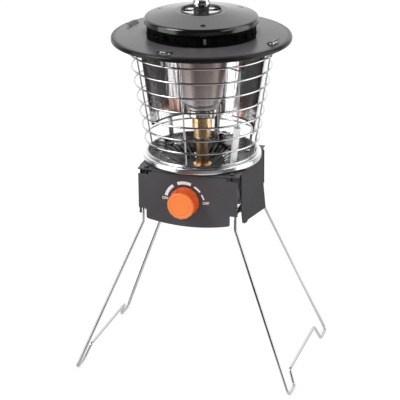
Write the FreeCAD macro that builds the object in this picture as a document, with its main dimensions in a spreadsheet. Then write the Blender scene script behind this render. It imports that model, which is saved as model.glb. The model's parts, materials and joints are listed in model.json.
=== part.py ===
# Portable propane heater for a table: a gas burner in a wire guard on two folding wire legs.
# Millimetres. +Z is up, the control panel faces -Y, and the origin lies on the table under the burner axis.
import FreeCAD, Part
import Sketcher
import math
import os

Vector = FreeCAD.Vector
Rotation = FreeCAD.Rotation
Placement = FreeCAD.Placement

doc = FreeCAD.newDocument("table_heater")
sheet = doc.addObject("Spreadsheet::Sheet", "dims")

# Driving dimensions: alias, value, what it is
SIZES = [
    ("leg_wire", 3.5, "diameter of the leg wire"),
    ("leg_bend", 4.0, "inside bend radius of the leg wire"),
    ("foot_bend", 2.6, "inside bend radius at the feet"),
    ("hinge_half_width", 53.6, "leg hinge axis from the middle plane"),
    ("hinge_height", 195.4, "leg hinge axis above the table"),
    ("leg_drop", 18.6, "straight drop of a leg below its hinge"),
    ("leg_half_span", 125.8, "foot from the middle plane"),
    ("leg_half_depth", 52.3, "leg rod from the axis, front to back"),
    ("foot_outer", 89.6, "outer end of a foot from the axis, front to back"),
    ("foot_inner", 64.5, "inner end of a foot from the axis, front to back"),
    ("cross_half", 58.0, "half the lower cross bar"),
    ("cross_height", 18.4, "lower cross bar above the table"),
    ("running_fit", 0.06, "radial clearance of a turning fit"),
    ("seat_gap", 0.3, "gap between neighbours that don't touch"),
    ("panel_half_width", 57.2, "half the front panel"),
    ("housing_half_depth", 57.3, "outer face of the front panel from the axis"),
    ("panel_steel", 1.2, "sheet of the panels"),
    ("panel_rise", 42.6, "upper edge of the front panel above the hinge"),
    ("shoulder_step", 3.0, "step down at the panel shoulders"),
    ("shoulder_half", 45.0, "half the raised part of the upper edge"),
    ("notch_drop", 0.9, "upper end of the leg notch below the hinge"),
    ("lobe_half", 48.3, "half the lower lobe of the panel"),
    ("lobe_corner", 2.5, "corner radius of the lobe"),
    ("lobe_drop", 10.7, "start of the lobe corner below the hinge"),
    ("lobe_sag", 5.0, "bow of the lobe's lower edge"),
    ("side_half_width", 59.0, "outer face of a side panel"),
    ("side_half_depth", 46.0, "half depth of a side panel"),
    ("side_steel", 1.0, "sheet of the side panels"),
    ("kink_rise", 5.4, "start of a side panel's flare above the hinge"),
    ("side_flare", 3.2, "how far a side panel flares out"),
    ("side_drop", 26.9, "lower rear corner of a side panel below the hinge"),
    ("plate_proud", 2.8, "upper face of the top plate above the front panel"),
    ("flange_drop", 16.0, "depth of the top plate's flanges"),
    ("pan_cone_radius", 48.0, "rim of the sunken part of the pan"),
    ("pan_radius", 63.5, "outer radius of the pan"),
    ("pan_depth", 12.0, "sunken depth of the pan"),
    ("pan_steel", 0.8, "sheet of the pan"),
    ("pan_slots", 16, "number of radial slots"),
    ("slot_width", 2.2, "width of a radial slot"),
    ("ring_radius", 66.6, "outer radius of the base ring"),
    ("ring_bore", 61.0, "inner radius of the base ring"),
    ("ring_tall", 7.4, "height of the base ring"),
    ("ring_round", 2.2, "edge rounding of the base ring"),
    ("guard_wire", 2.2, "diameter of the guard wire"),
    ("guard_radius", 80.6, "top guard ring"),
    ("guard_taper", 0.162, "guard radius lost per height"),
    ("guard_pitch", 17.4, "spacing of the upper guard rings"),
    ("guard_pitch_low", 15.6, "spacing of the lower guard rings"),
    ("guard_rings", 8, "number of guard rings"),
    ("guard_rings_low", 3, "how many of them have the lower spacing"),
    ("guard_uprights", 4, "number of guard uprights"),
    ("upright_tail", 4.6, "upright below the lowest ring"),
    ("weld_bite", 0.2, "how far welded wires sink together"),
    ("hood_radius", 100.0, "outer radius of the hood"),
    ("hood_hole", 60.8, "opening of the hood"),
    ("hood_rise", 144.6, "hood surface at its opening above the top plate"),
    ("hood_flat", 66.0, "outer radius of the flat round the hood's opening"),
    ("hood_fall", 1.8, "fall of the hood surface out to its edge"),
    ("hood_edge", 2.6, "edge rounding of the hood"),
    ("hood_deep", 6.0, "hood surface down to the lower end of its skirt"),
    ("hood_bead", 1.3, "radius of the rolled edge"),
    ("hood_steel", 0.8, "sheet of the hood"),
    ("louvre_radius", 84.0, "inner end of a louvre roof"),
    ("louvre_reach", 6.5, "louvre roof, inside to outside"),
    ("louvre_rise", 3.0, "height of a louvre roof"),
    ("louvre_sweep", 12.0, "angle that a louvre covers"),
    ("louvre_turn", -100.0, "direction of the first louvre"),
    ("collar_radius", 60.2, "outer radius of the vent collar"),
    ("collar_tall", 11.8, "height of the collar wall"),
    ("collar_flange", 65.0, "collar flange under the hood"),
    ("collar_hole", 46.0, "inner radius of the collar flange"),
    ("collar_slots", 24, "vent slots in the collar"),
    ("baffle_drop", 6.0, "depth of the baffle dish"),
    ("post_radius", 51.8, "cap posts from the axis"),
    ("post_turn", -71.0, "direction of the first cap post"),
    ("post_thick", 3.4, "radius of a cap post"),
    ("rivet_shank", 1.25, "radius of a rivet shank"),
    ("rivet_head", 2.4, "radius of a rivet head"),
    ("rivet_long", 7.0, "length of a rivet in its post"),
    ("cap_radius", 63.0, "outer radius of the cap"),
    ("cap_rise", 25.5, "flat top of the cap above the hood"),
    ("cap_flat", 28.0, "outer radius of that flat"),
    ("cap_crown", 6.1, "fall of the cap surface out to its edge"),
    ("cap_edge", 3.0, "edge rounding of the cap"),
    ("cap_skirt", 3.4, "straight skirt of the cap"),
    ("cap_hole", 21.8, "opening of the cap"),
    ("cap_bead", 1.1, "radius of the cap's rolled edges"),
    ("cap_steel", 0.8, "sheet of the cap"),
    ("dimple_radius", 3.2, "radius of a cap dimple"),
    ("dimple_depth", 0.45, "depth of a cap dimple"),
    ("grille_radius", 27.0, "outer radius of the cap insert"),
    ("grille_window", 20.6, "outer radius of its windows"),
    ("grille_hub", 9.0, "inner radius of its windows"),
    ("finial_radius", 10.2, "radius of the finial"),
    ("finial_stem", 3.2, "radius of the finial's stem"),
    ("finial_collar", 8.5, "radius of the black collar under the finial"),
    ("finial_lift", 4.1, "underside of the finial over the cap"),
    ("finial_tall", 9.5, "height of the finial's head"),
    ("burner_top_radius", 31.4, "upper radius of the burner head"),
    ("burner_low_radius", 20.8, "lower radius of the burner head"),
    ("burner_rise", 129.2, "upper end of the burner head above the top plate"),
    ("burner_tall", 63.5, "height of its straight side"),
    ("burner_wall", 1.0, "wall of the burner head"),
    ("cup_radius", 17.4, "radius of the burner cup"),
    ("bowl_tall", 6.5, "height of the burner head's bowl over the cup"),
    ("cup_tall", 10.4, "height of the burner cup"),
    ("collar_nut_radius", 11.3, "radius of the upper tube collar"),
    ("collar_nut_tall", 14.0, "height of the upper tube collar"),
    ("sleeve_radius", 9.4, "radius of the tube sleeve"),
    ("sleeve_tall", 16.0, "height of the tube sleeve"),
    ("tube_radius", 7.0, "radius of the mixing tube"),
    ("tube_wall", 1.0, "wall of the mixing tube"),
    ("tube_drop", 22.6, "lower end of the mixing tube below the top plate"),
    ("air_hole", 1.8, "radius of the air holes"),
    ("reflector_low_radius", 60.0, "lower radius of the reflector"),
    ("reflector_top_radius", 73.8, "upper radius of the reflector"),
    ("reflector_rise", 32.2, "lower edge of the reflector above the top plate"),
    ("reflector_tall", 101.0, "height of the reflector"),
    ("reflector_steel", 0.6, "sheet of the reflector"),
    ("reflector_lip", 3.0, "turned-in foot of the reflector"),
    ("strap_sweep", 6.0, "angle that a reflector strap covers"),
    ("strap_rise", 12.0, "overlap of a strap on the reflector"),
    ("spark_turn", -34.0, "direction of the spark electrode"),
    ("spark_foot", 52.9, "foot of the ceramic insulator from the burner axis"),
    ("spark_lean", 9.8, "outward lean of the ceramic insulator"),
    ("insulator_radius", 3.7, "radius of the ceramic insulator"),
    ("insulator_tall", 47.6, "length of the ceramic insulator"),
    ("insulator_bore", 8.0, "depth of the electrode in the insulator"),
    ("clamp_tall", 6.0, "length of the clamp round the insulator"),
    ("clamp_wall", 1.0, "wall of that clamp"),
    ("clamp_foot", 14.0, "side of the clamp's square foot"),
    ("electrode_radius", 0.9, "radius of the spark electrode"),
    ("electrode_collar", 1.9, "radius of the collar on the spark electrode"),
    ("electrode_corner", 65.4, "corner of the electrode from the burner axis"),
    ("electrode_rise", 114.7, "that corner above the top plate"),
    ("electrode_tip", 44.0, "tip of the electrode from the burner axis"),
    ("sensor_turn", -25.0, "direction of the flame sensor"),
    ("sensor_place", 24.0, "stem of the flame sensor from the burner axis"),
    ("sensor_hook", 4.0, "width of the sensor's hook"),
    ("sensor_rise", 8.4, "top of the flame sensor above the burner cup"),
    ("sensor_tall", 43.4, "height of the flame sensor"),
    ("sensor_radius", 0.8, "radius of the flame sensor"),
    ("arm_drop", 26.2, "underside of the sensor arm below the burner cup"),
    ("arm_rise", 12.6, "rise of the sensor arm to its end"),
    ("arm_end", 40.0, "outer end of the sensor arm"),
    ("arm_wide", 6.0, "width of the sensor arm"),
    ("arm_steel", 1.0, "sheet of the sensor arm"),
    ("knob_side", -2.6, "knob axis beside the middle plane"),
    ("knob_drop", 30.0, "knob axis below the upper edge of the front panel"),
    ("knob_base_radius", 17.0, "knob corner radius at the panel"),
    ("knob_face_radius", 15.0, "knob corner radius at its face"),
    ("knob_long", 18.5, "knob from base to face"),
    ("knob_facets", 12, "number of knob facets"),
    ("knob_gap", 1.0, "knob base from the panel"),
    ("knob_cavity", 10.5, "radius of the hollow under the knob"),
    ("knob_cavity_deep", 5.0, "depth of that hollow"),
    ("knob_bore_deep", 14.0, "spindle bore from the knob base"),
    ("spindle_radius", 3.0, "radius of the valve spindle"),
    ("neck_radius", 5.0, "radius of the valve neck in the panel"),
    ("nut_across", 6.4, "corner radius of the gland nut"),
    ("nut_thick", 2.4, "thickness of the gland nut"),
    ("barrel_radius", 9.0, "radius of the valve barrel"),
    ("barrel_front", 46.0, "front of the valve barrel from the axis"),
    ("barrel_back", 19.5, "rear of the valve barrel from the axis"),
    ("spindle_back", 34.0, "rear end of the spindle from the axis"),
    ("socket_drop", 43.8, "mouth of the cylinder socket below the top plate"),
    ("socket_flange", 19.0, "flange radius of the cylinder socket"),
    ("socket_body", 16.6, "body radius of the cylinder socket"),
    ("socket_bore", 12.1, "thread bore radius of the socket"),
    ("socket_deep", 11.5, "depth of the thread bore"),
    ("socket_tall", 14.0, "height of the socket"),
    ("seal_radius", 7.5, "outer radius of the seal"),
    ("seal_hole", 4.0, "inner radius of the seal"),
    ("probe_radius", 2.6, "radius of the probe that opens the cylinder"),
    ("probe_hole", 0.8, "radius of the gas way in the probe"),
    ("block_radius", 13.0, "radius of the gas block"),
    ("strap_half_width", 50.4, "outer face of the valve strap"),
    ("strap_half_depth", 21.0, "half depth of the valve strap"),
    ("strap_steel", 1.2, "sheet of the valve strap"),
    ("screw_x", 49.4, "top plate screws, side to side"),
    ("screw_y", 50.6, "top plate screws, front to back"),
    ("screw_head", 2.6, "radius of a screw head"),
    ("screw_shank", 1.4, "radius of a screw shank"),
    ("clip_place", 32.0, "leg clips from the axis, front to back"),
    ("clip_wide", 10.0, "width of a leg clip"),
    ("clip_wall", 1.2, "wall of a leg clip"),
    ("clip_rise", 16.0, "tongue of a leg clip above the hinge"),
]


class Size:
    """A length that knows its value and the sheet expression that drives it."""

    def __init__(self, value, text):
        self.value = value
        self.text = text

    def __add__(self, other):
        return joined(self, other, "+", self.value + value_of(other))

    def __sub__(self, other):
        return joined(self, other, "-", self.value - value_of(other))

    def __mul__(self, other):
        return joined(self, other, "*", self.value * value_of(other))

    def __truediv__(self, other):
        return joined(self, other, "/", self.value / value_of(other))

    def __neg__(self):
        return Size(-self.value, f"-({self.text})")


def value_of(length):
    return length.value if isinstance(length, Size) else length


def text_of(length):
    return length.text if isinstance(length, Size) else repr(float(length))


def joined(first, second, sign, value):
    return Size(value, f"({text_of(first)} {sign} {text_of(second)})")


def cosine(angle):
    return Size(math.cos(math.radians(value_of(angle))), f"cos(({text_of(angle)}) * 1 deg)")


def sine(angle):
    return Size(math.sin(math.radians(value_of(angle))), f"sin(({text_of(angle)}) * 1 deg)")


def root(length):
    return Size(math.sqrt(value_of(length)), f"sqrt({text_of(length)})")


class Dimensions:
    """Writes the driving dimensions into the sheet and gives each one back as a Size."""

    def __init__(self, rows):
        for row, (alias, value, note) in enumerate(rows, start=1):
            sheet.set(f"A{row}", note)
            sheet.set(f"B{row}", str(value))
            sheet.setAlias(f"B{row}", alias)
            setattr(self, alias, Size(value, f"dims.{alias}"))


d = Dimensions(SIZES)
doc.recompute()

ZERO = Size(0.0, "0")

# Heights above the table, each one from the piece that carries it
d.panel_top = d.hinge_height + d.panel_rise
d.notch_top = d.hinge_height - d.notch_drop
d.lobe_side_bottom = d.hinge_height - d.lobe_drop
d.side_kink = d.hinge_height + d.kink_rise
d.side_bottom = d.hinge_height - d.side_drop
d.knob_height = d.panel_top - d.knob_drop
d.plate_top = d.panel_top + d.plate_proud
d.socket_mouth = d.plate_top - d.socket_drop
d.tube_bottom = d.plate_top - d.tube_drop
d.burner_top_height = d.plate_top + d.burner_rise
d.burner_low_height = d.burner_top_height - d.burner_tall
d.cup_top = d.burner_low_height - d.bowl_tall
d.cup_bottom = d.cup_top - d.cup_tall
d.sensor_top = d.cup_top + d.sensor_rise
d.sensor_foot = d.sensor_top - d.sensor_tall
d.arm_low = d.cup_bottom - d.arm_drop
d.arm_height = d.arm_low + d.arm_rise
d.electrode_top = d.plate_top + d.electrode_rise
d.reflector_low_height = d.plate_top + d.reflector_rise
d.reflector_top_height = d.reflector_low_height + d.reflector_tall
d.hood_top = d.plate_top + d.hood_rise
d.hood_lip = d.hood_top - d.hood_deep
d.cap_top = d.hood_top + d.cap_rise


def bind(item, **sizes):
    """Sets properties of an object and ties each one to the sheet."""
    for name, length in sizes.items():
        setattr(item, name, value_of(length))
        if isinstance(length, Size):
            item.setExpression(name, length.text)
    return item


def place(item, x=0, y=0, z=0, turn=None, axis=None):
    """Puts an object at a place given in Sizes, with an optional turn in degrees about an axis."""
    rotation = Rotation() if turn is None else Rotation(axis or Vector(0, 0, 1), value_of(turn))
    item.Placement = Placement(Vector(value_of(x), value_of(y), value_of(z)), rotation)
    for key, length in (("x", x), ("y", y), ("z", z)):
        if isinstance(length, Size):
            item.setExpression(f"Placement.Base.{key}", length.text)
    if isinstance(turn, Size):
        item.setExpression("Placement.Rotation.Angle", f"({turn.text}) * 1 deg")
    return item


def cylinder(radius, height, x=0, y=0, z=0, turn=None, axis=None):
    item = bind(doc.addObject("Part::Cylinder", "cylinder"), Radius=radius, Height=height)
    return place(item, x, y, z, turn, axis)


def box(length, width, height, x=0, y=0, z=0):
    item = bind(doc.addObject("Part::Box", "box"), Length=length, Width=width, Height=height)
    return place(item, x, y, z)


def torus(ring, wire, z):
    item = bind(doc.addObject("Part::Torus", "torus"), Radius1=ring, Radius2=wire)
    return place(item, 0, 0, z)


def cut(base, *tools):
    item = doc.addObject("Part::Cut", "cut")
    item.Base = base
    item.Tool = tools[0] if len(tools) == 1 else fuse(*tools)
    return item


def fuse(*pieces):
    item = doc.addObject("Part::MultiFuse", "fuse")
    item.Shapes = list(pieces)
    return item


def common(first, second):
    item = doc.addObject("Part::Common", "common")
    item.Base = first
    item.Tool = second
    return item


def group(*pieces):
    """Keeps separate solids of one kind together as one sub-part."""
    item = doc.addObject("Part::Compound", "group")
    item.Links = list(pieces)
    return item


SUB_PARTS = []


def sub_part(label, item):
    """Names a finished sub-part, whose label is also its file name."""
    item.Label = label
    SUB_PARTS.append(item)
    return item


def new_body():
    body = doc.addObject("PartDesign::Body", "body")
    return body


def new_sketch(body, role, offset=ZERO):
    """An empty sketch on one of the body's origin planes, moved along that plane's normal."""
    sketch = body.newObject("Sketcher::SketchObject", "sketch")
    plane = [item for item in body.Origin.OriginFeatures if item.Role == role][0]
    sketch.AttachmentSupport = [(plane, "")]
    sketch.MapMode = "FlatFace"
    sketch.AttachmentOffset = Placement(Vector(0, 0, offset.value), Rotation())
    if offset is not ZERO:
        sketch.setExpression("AttachmentOffset.Base.z", offset.text)
    return sketch


def fix_point(sketch, geometry, end, x, y):
    """Ties one end of a sketch line or arc to Sizes measured from the sketch origin."""
    for kind, length, other_axis in (("DistanceX", x, -2), ("DistanceY", y, -1)):
        if abs(value_of(length)) < 1e-9:
            sketch.addConstraint(Sketcher.Constraint("PointOnObject", geometry, end, other_axis))
        else:
            row = sketch.addConstraint(Sketcher.Constraint(kind, -1, 1, geometry, end, value_of(length)))
            sketch.setExpression(f"Constraints[{row}]", text_of(length))


def arc_between(start, end, radius, side):
    """An arc through two points, bulging to the left (+1) or the right (-1) of the way between them."""
    middle = (start + end) * 0.5
    way = end - start
    half = way.Length / 2
    left = Vector(-way.y, way.x, 0).normalize()
    centre = middle - left * side * math.sqrt(max(radius ** 2 - half ** 2, 0))
    first, last = (start, end) if side < 0 else (end, start)
    angles = [math.atan2(point.y - centre.y, point.x - centre.x) for point in (first, last)]
    circle = Part.Circle(centre, Vector(0, 0, 1), radius)
    return Part.ArcOfCircle(circle, angles[0], angles[1])


def draw_outline(sketch, corners):
    """A closed outline. A corner is (x, y), or (x, y, radius, side) if an arc leads on from it."""
    points = [Vector(value_of(corner[0]), value_of(corner[1]), 0) for corner in corners]
    ends = []
    for index, corner in enumerate(corners):
        start, end = points[index], points[(index + 1) % len(points)]
        if len(corner) == 4:
            curve = sketch.addGeometry(arc_between(start, end, value_of(corner[2]), corner[3]), False)
            row = sketch.addConstraint(Sketcher.Constraint("Radius", curve, value_of(corner[2])))
            if isinstance(corner[2], Size):
                sketch.setExpression(f"Constraints[{row}]", corner[2].text)
            ends.append((curve, 1, 2) if corner[3] < 0 else (curve, 2, 1))
        else:
            ends.append((sketch.addGeometry(Part.LineSegment(start, end), False), 1, 2))
    for index, (curve, first, last) in enumerate(ends):
        following, following_first, _ = ends[(index + 1) % len(ends)]
        sketch.addConstraint(Sketcher.Constraint("Coincident", curve, last, following, following_first))
        fix_point(sketch, curve, first, corners[index][0], corners[index][1])


def draw_circle(sketch, x, y, radius):
    centre = Vector(value_of(x), value_of(y), 0)
    curve = sketch.addGeometry(Part.Circle(centre, Vector(0, 0, 1), value_of(radius)), False)
    row = sketch.addConstraint(Sketcher.Constraint("Radius", curve, value_of(radius)))
    sketch.setExpression(f"Constraints[{row}]", text_of(radius))
    fix_point(sketch, curve, 3, x, y)


def turned(corners, angle=360):
    """A body turned about the Z axis from an outline of (radius, height) corners."""
    body = new_body()
    sketch = new_sketch(body, "XZ_Plane")
    draw_outline(sketch, corners)
    revolution = body.newObject("PartDesign::Revolution", "revolution")
    revolution.Profile = sketch
    revolution.ReferenceAxis = (sketch, ["V_Axis"])
    bind(revolution, Angle=angle)
    return body


def padded(corners, role, offset, length, circles=()):
    """A body padded from an outline on an origin plane, with round holes in it."""
    body = new_body()
    sketch = new_sketch(body, role, offset)
    draw_outline(sketch, corners)
    for x, y, radius in circles:
        draw_circle(sketch, x, y, radius)
    pad = body.newObject("PartDesign::Pad", "pad")
    pad.Profile = sketch
    bind(pad, Length=length)
    return body


def disc(radius, bottom, top, bore=None):
    """A flat turned ring or disc, as outline corners."""
    inner = ZERO if bore is None else bore
    return [(inner, bottom), (radius, bottom), (radius, top), (inner, top)]


def skirt_bead(radius, low, bead, steel):
    """Corners of a rolled lower edge, from the inside of a skirt round to its outside."""
    cover = root(bead * bead - (bead - steel) * (bead - steel))
    return [
        (radius - steel, low + cover, bead, -1),
        (radius - bead * 2, low, bead, -1),
        (radius - bead, low - bead, bead, -1),
        (radius, low),
    ]


def mouth_bead(radius, top, bead, steel):
    """Corners of a rolled edge round an opening, from above a sheet round to its underside."""
    cover = root(bead * bead - steel * steel)
    return [
        (radius + bead * 2, top, bead, -1),
        (radius + bead, top + bead, bead, -1),
        (radius, top, bead, -1),
        (radius + bead, top - bead, bead, -1),
        (radius + bead + cover, top - steel),
    ]


def polar(radius, angle):
    return radius * cosine(angle), radius * sine(angle)


# Heights and radii worked out from the driving dimensions
plate_low = d.plate_top - d.panel_steel
panel_inner = d.housing_half_depth - d.panel_steel
side_inner = d.side_half_width - d.side_steel
pan_top = d.plate_top + d.pan_steel
ring_top = pan_top + d.ring_tall
wire = d.guard_wire / 2
guard_low_height = ring_top + wire
guard_low_span = d.guard_pitch_low * d.guard_rings_low
guard_top_height = guard_low_height + guard_low_span + d.guard_pitch * (d.guard_rings - 1 - d.guard_rings_low)
hood_under = d.hood_top - d.hood_steel
flange_low = hood_under - d.hood_steel
cap_under = d.cap_top - d.cap_steel
cap_shoulder = d.cap_radius - d.cap_edge
cap_shoulder_height = d.cap_top - d.cap_crown
skirt_low = cap_shoulder_height - d.cap_edge - d.cap_skirt
hood_slope = d.hood_fall / (d.hood_radius - d.hood_edge - d.hood_flat)
grille_top = d.cap_top - d.cap_bead - d.seat_gap


def guard_radius_at(height):
    return d.guard_radius - (guard_top_height - height) * d.guard_taper


def hood_surface_at(radius):
    return d.hood_top - (radius - d.hood_flat) * hood_slope


def cap_surface_at(radius):
    slope = d.cap_crown / (cap_shoulder - d.cap_flat)
    return d.cap_top - (radius - d.cap_flat) * slope


# Legs


def rounded_loop(points, radii):
    """A closed wire through points, with each corner rounded to its own radius."""
    count = len(points)
    edges = []
    leave = []
    for index in range(count):
        corner = points[index]
        back = (points[index - 1] - corner).normalize()
        ahead = (points[(index + 1) % count] - corner).normalize()
        half_angle = back.getAngle(ahead) / 2
        reach = radii[index] / math.tan(half_angle)
        bisector = (back + ahead).normalize()
        centre = corner + bisector * (radii[index] / math.sin(half_angle))
        middle = centre - bisector * radii[index]
        leave.append((corner + back * reach, middle, corner + ahead * reach))
    for index in range(count):
        start, middle, end = leave[index]
        edges.append(Part.Arc(start, middle, end).toShape())
        edges.append(Part.makeLine(end, leave[(index + 1) % count][0]))
    return edges


def leg_points(side):
    """Corners of one leg, from its hinge bar down to its feet and its lower cross bar."""
    foot_height = value_of(d.leg_wire) / 2
    bend_height = d.hinge_height.value - d.leg_drop.value
    lean = (d.leg_half_span.value - d.hinge_half_width.value) / (bend_height - foot_height)
    cross_out = d.hinge_half_width.value + lean * (bend_height - d.cross_height.value)
    half = [
        (d.hinge_half_width.value, d.leg_half_depth.value, d.hinge_height.value),
        (d.hinge_half_width.value, d.leg_half_depth.value, bend_height),
        (d.leg_half_span.value, d.foot_outer.value, foot_height),
        (d.leg_half_span.value, d.foot_inner.value, foot_height),
        (cross_out, d.cross_half.value, d.cross_height.value),
    ]
    front = [Vector(side * x, -y, z) for x, y, z in half]
    rear = [Vector(side * x, y, z) for x, y, z in reversed(half)]
    return front + rear


def bent_leg(side):
    """One leg: a single closed loop of round wire, bent in space."""
    points = leg_points(side)
    bends = [d.leg_bend.value, d.leg_bend.value, d.foot_bend.value, d.foot_bend.value, d.foot_bend.value]
    radii = [bend + d.leg_wire.value / 2 for bend in bends + bends[::-1]]
    edges = rounded_loop(points, radii)
    spine = Part.Wire(edges)
    start = edges[-1]
    middle = (start.Vertexes[0].Point + start.Vertexes[1].Point) * 0.5
    direction = (start.Vertexes[1].Point - start.Vertexes[0].Point).normalize()
    halves = [Part.makeLine(middle, start.Vertexes[1].Point)] + edges[:-1]
    halves.append(Part.makeLine(start.Vertexes[0].Point, middle))
    spine = Part.Wire(halves)
    profile = Part.Wire(Part.makeCircle(d.leg_wire.value / 2, middle, direction))
    solid = spine.makePipeShell([profile], True, False)
    if solid.Volume < 0:
        solid.reverse()
    return solid


def make_legs():
    for name, side in (("leg_left", -1), ("leg_right", 1)):
        leg = doc.addObject("Part::Feature", name)
        leg.Shape = bent_leg(side)
        leg.Placement = Placement()
        sub_part(name, leg)


def make_leg_clips():
    """Curled clips on the side panels, two a side, that carry the hinge bars."""
    bore = d.leg_wire / 2 + d.running_fit
    curl = bore + d.clip_wall
    for name, side in (("leg_clips_left", -1), ("leg_clips_right", 1)):
        clips = []
        for row in (-1, 1):
            start = d.clip_place * row - d.clip_wide / 2
            axis_x = d.hinge_half_width * side
            tongue_width = side_inner - d.hinge_half_width
            tongue_x = axis_x if side > 0 else -side_inner
            tongue = box(tongue_width, d.clip_wide, d.clip_wall, tongue_x, start, d.hinge_height + bore)
            wall_x = side_inner - d.clip_wall if side > 0 else -side_inner
            wall = box(d.clip_wall, d.clip_wide, d.clip_rise, wall_x, start, d.hinge_height + bore)
            roll = cylinder(curl, d.clip_wide, axis_x, start, d.hinge_height, -90, Vector(1, 0, 0))
            hole = cylinder(bore, d.clip_wide, axis_x, start, d.hinge_height, -90, Vector(1, 0, 0))
            clips.append(cut(fuse(tongue, wall, roll), hole))
        sub_part(name, group(*clips))


# Housing


def panel_outline():
    """Outline of a front or rear panel: shoulders, leg notches and a bowed lower lobe."""
    shoulder = d.panel_top - d.shoulder_step
    lobe_low = d.lobe_side_bottom - d.lobe_corner
    lobe_inner = d.lobe_half - d.lobe_corner
    bow = (lobe_inner * lobe_inner + d.lobe_sag * d.lobe_sag) / (d.lobe_sag * 2)
    return [
        (-d.shoulder_half, d.panel_top),
        (-d.shoulder_half, shoulder),
        (-d.panel_half_width, shoulder),
        (-d.panel_half_width, d.notch_top),
        (-d.lobe_half, d.notch_top),
        (-d.lobe_half, d.lobe_side_bottom, d.lobe_corner, -1),
        (-lobe_inner, lobe_low, bow, -1),
        (lobe_inner, lobe_low, d.lobe_corner, -1),
        (d.lobe_half, d.lobe_side_bottom),
        (d.lobe_half, d.notch_top),
        (d.panel_half_width, d.notch_top),
        (d.panel_half_width, shoulder),
        (d.shoulder_half, shoulder),
        (d.shoulder_half, d.panel_top),
    ]


def make_panels():
    hole = (d.knob_side, d.knob_height, d.neck_radius + d.seat_gap)
    front = padded(panel_outline(), "XZ_Plane", panel_inner, d.panel_steel, [hole])
    sub_part("front_panel", front)
    rear = padded(panel_outline(), "XZ_Plane", -d.housing_half_depth, d.panel_steel)
    slots = []
    slot_tall = 2.4
    for row in range(4):
        for side in (-1, 1):
            height = d.panel_top - 26.0 + row * 5.0
            x = -27.0 if side < 0 else 7.0
            slots.append(box(20.0, d.panel_steel * 4, slot_tall, x, panel_inner - d.panel_steel, height))
    sub_part("rear_panel", cut(rear, *slots))


def side_section(side):
    """Section of a side panel: upright above, flared out below."""
    low = d.side_bottom - 2.0
    flared = d.side_half_width + d.side_flare
    return [
        (side_inner * side, d.plate_top),
        (side_inner * side, d.side_kink),
        ((flared - d.side_steel) * side, low),
        (flared * side, low),
        (d.side_half_width * side, d.side_kink),
        (d.side_half_width * side, d.plate_top),
    ]


def side_outline():
    """Side view of a side panel, as (depth, height) corners."""
    depth = d.side_half_depth
    low = d.side_bottom
    return [
        (-depth, d.plate_top),
        (-depth, low + 16.0),
        (-depth + 5.0, low + 13.0),
        (-depth + 15.0, low + 10.8),
        (-depth + 20.0, low + 12.0),
        (depth, low),
        (depth, d.plate_top),
    ]


def make_side_panels():
    reach = d.side_half_width + d.side_flare + 10.0
    for name, side in (("side_panel_left", -1), ("side_panel_right", 1)):
        sheet_bent = padded(side_section(side), "XZ_Plane", -d.side_half_depth, d.side_half_depth * 2)
        outline = padded(side_outline(), "YZ_Plane", -reach, reach * 2)
        sub_part(name, common(sheet_bent, outline))


def make_top_plate():
    """Black top plate with its flanges behind the panels and a round hole for the pan."""
    half_x = side_inner
    half_y = panel_inner
    plate = box(half_x * 2, half_y * 2, d.panel_steel, -half_x, -half_y, plate_low)
    flange_bottom = d.plate_top - d.flange_drop
    front_half = d.shoulder_half - 3.0
    side_half = d.side_half_depth - 3.0
    pieces = [plate]
    for y in (-half_y, half_y - d.panel_steel):
        pieces.append(box(front_half * 2, d.panel_steel, d.flange_drop, -front_half, y, flange_bottom))
    for x in (-half_x, half_x - d.panel_steel):
        pieces.append(box(d.panel_steel, side_half * 2, d.flange_drop, x, -side_half, flange_bottom))
    hole = cylinder(d.pan_cone_radius + d.seat_gap, d.panel_steel * 3, 0, 0, plate_low - d.panel_steel)
    screw_holes = []
    for side in (-1, 1):
        for row in (-1, 1):
            screw_holes.append(cylinder(d.screw_shank + 0.1, d.panel_steel * 3, d.screw_x * side,
                                        d.screw_y * row, plate_low - d.panel_steel))
    sub_part("top_plate", cut(fuse(*pieces), hole, *screw_holes))


def make_plate_screws():
    """Four pan-head screws at the corners of the top plate."""
    screws = []
    for side in (-1, 1):
        for row in (-1, 1):
            x, y = d.screw_x * side, d.screw_y * row
            head = cylinder(d.screw_head, 1.5, x, y, d.plate_top)
            shank = cylinder(d.screw_shank, 7.0, x, y, d.plate_top - 7.0)
            screws.append(fuse(head, shank))
    sub_part("plate_screws", group(*screws))


# Base ring, pan and guard


def make_pan():
    """Dark pan under the burner: a flat rim, a sunken cone and radial slots."""
    hole = d.tube_radius + d.seat_gap
    deep = d.plate_top - d.pan_depth
    pan = turned([
        (d.pan_radius, d.plate_top),
        (d.pan_radius, pan_top),
        (d.pan_cone_radius, pan_top),
        (hole + 10.0, deep + d.pan_steel),
        (hole, deep + d.pan_steel),
        (hole, deep),
        (hole + 10.0 - d.pan_steel * 0.4, deep),
        (d.pan_cone_radius - d.pan_steel * 0.8, d.plate_top),
    ])
    slots = []
    for index in range(int(d.pan_slots.value)):
        angle = 360.0 * (index + 0.5) / d.pan_slots.value
        length = 18.0
        slot = box(length, d.slot_width, d.pan_depth * 2)
        x, y = polar(Size(23.0, "23"), angle)
        side_x, side_y = polar(d.slot_width / 2, angle - 90.0)
        place(slot, x + side_x, y + side_y, deep - d.pan_steel, angle)
        slots.append(slot)
    sub_part("burner_pan", cut(pan, *slots))


def make_base_ring():
    low, high, edge = pan_top, ring_top, d.ring_round
    ring = turned([
        (d.ring_bore, low),
        (d.ring_radius - edge, low, edge, -1),
        (d.ring_radius, low + edge),
        (d.ring_radius, high - edge, edge, -1),
        (d.ring_radius - edge, high),
        (d.ring_bore, high),
    ])
    sub_part("base_ring", ring)


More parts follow.
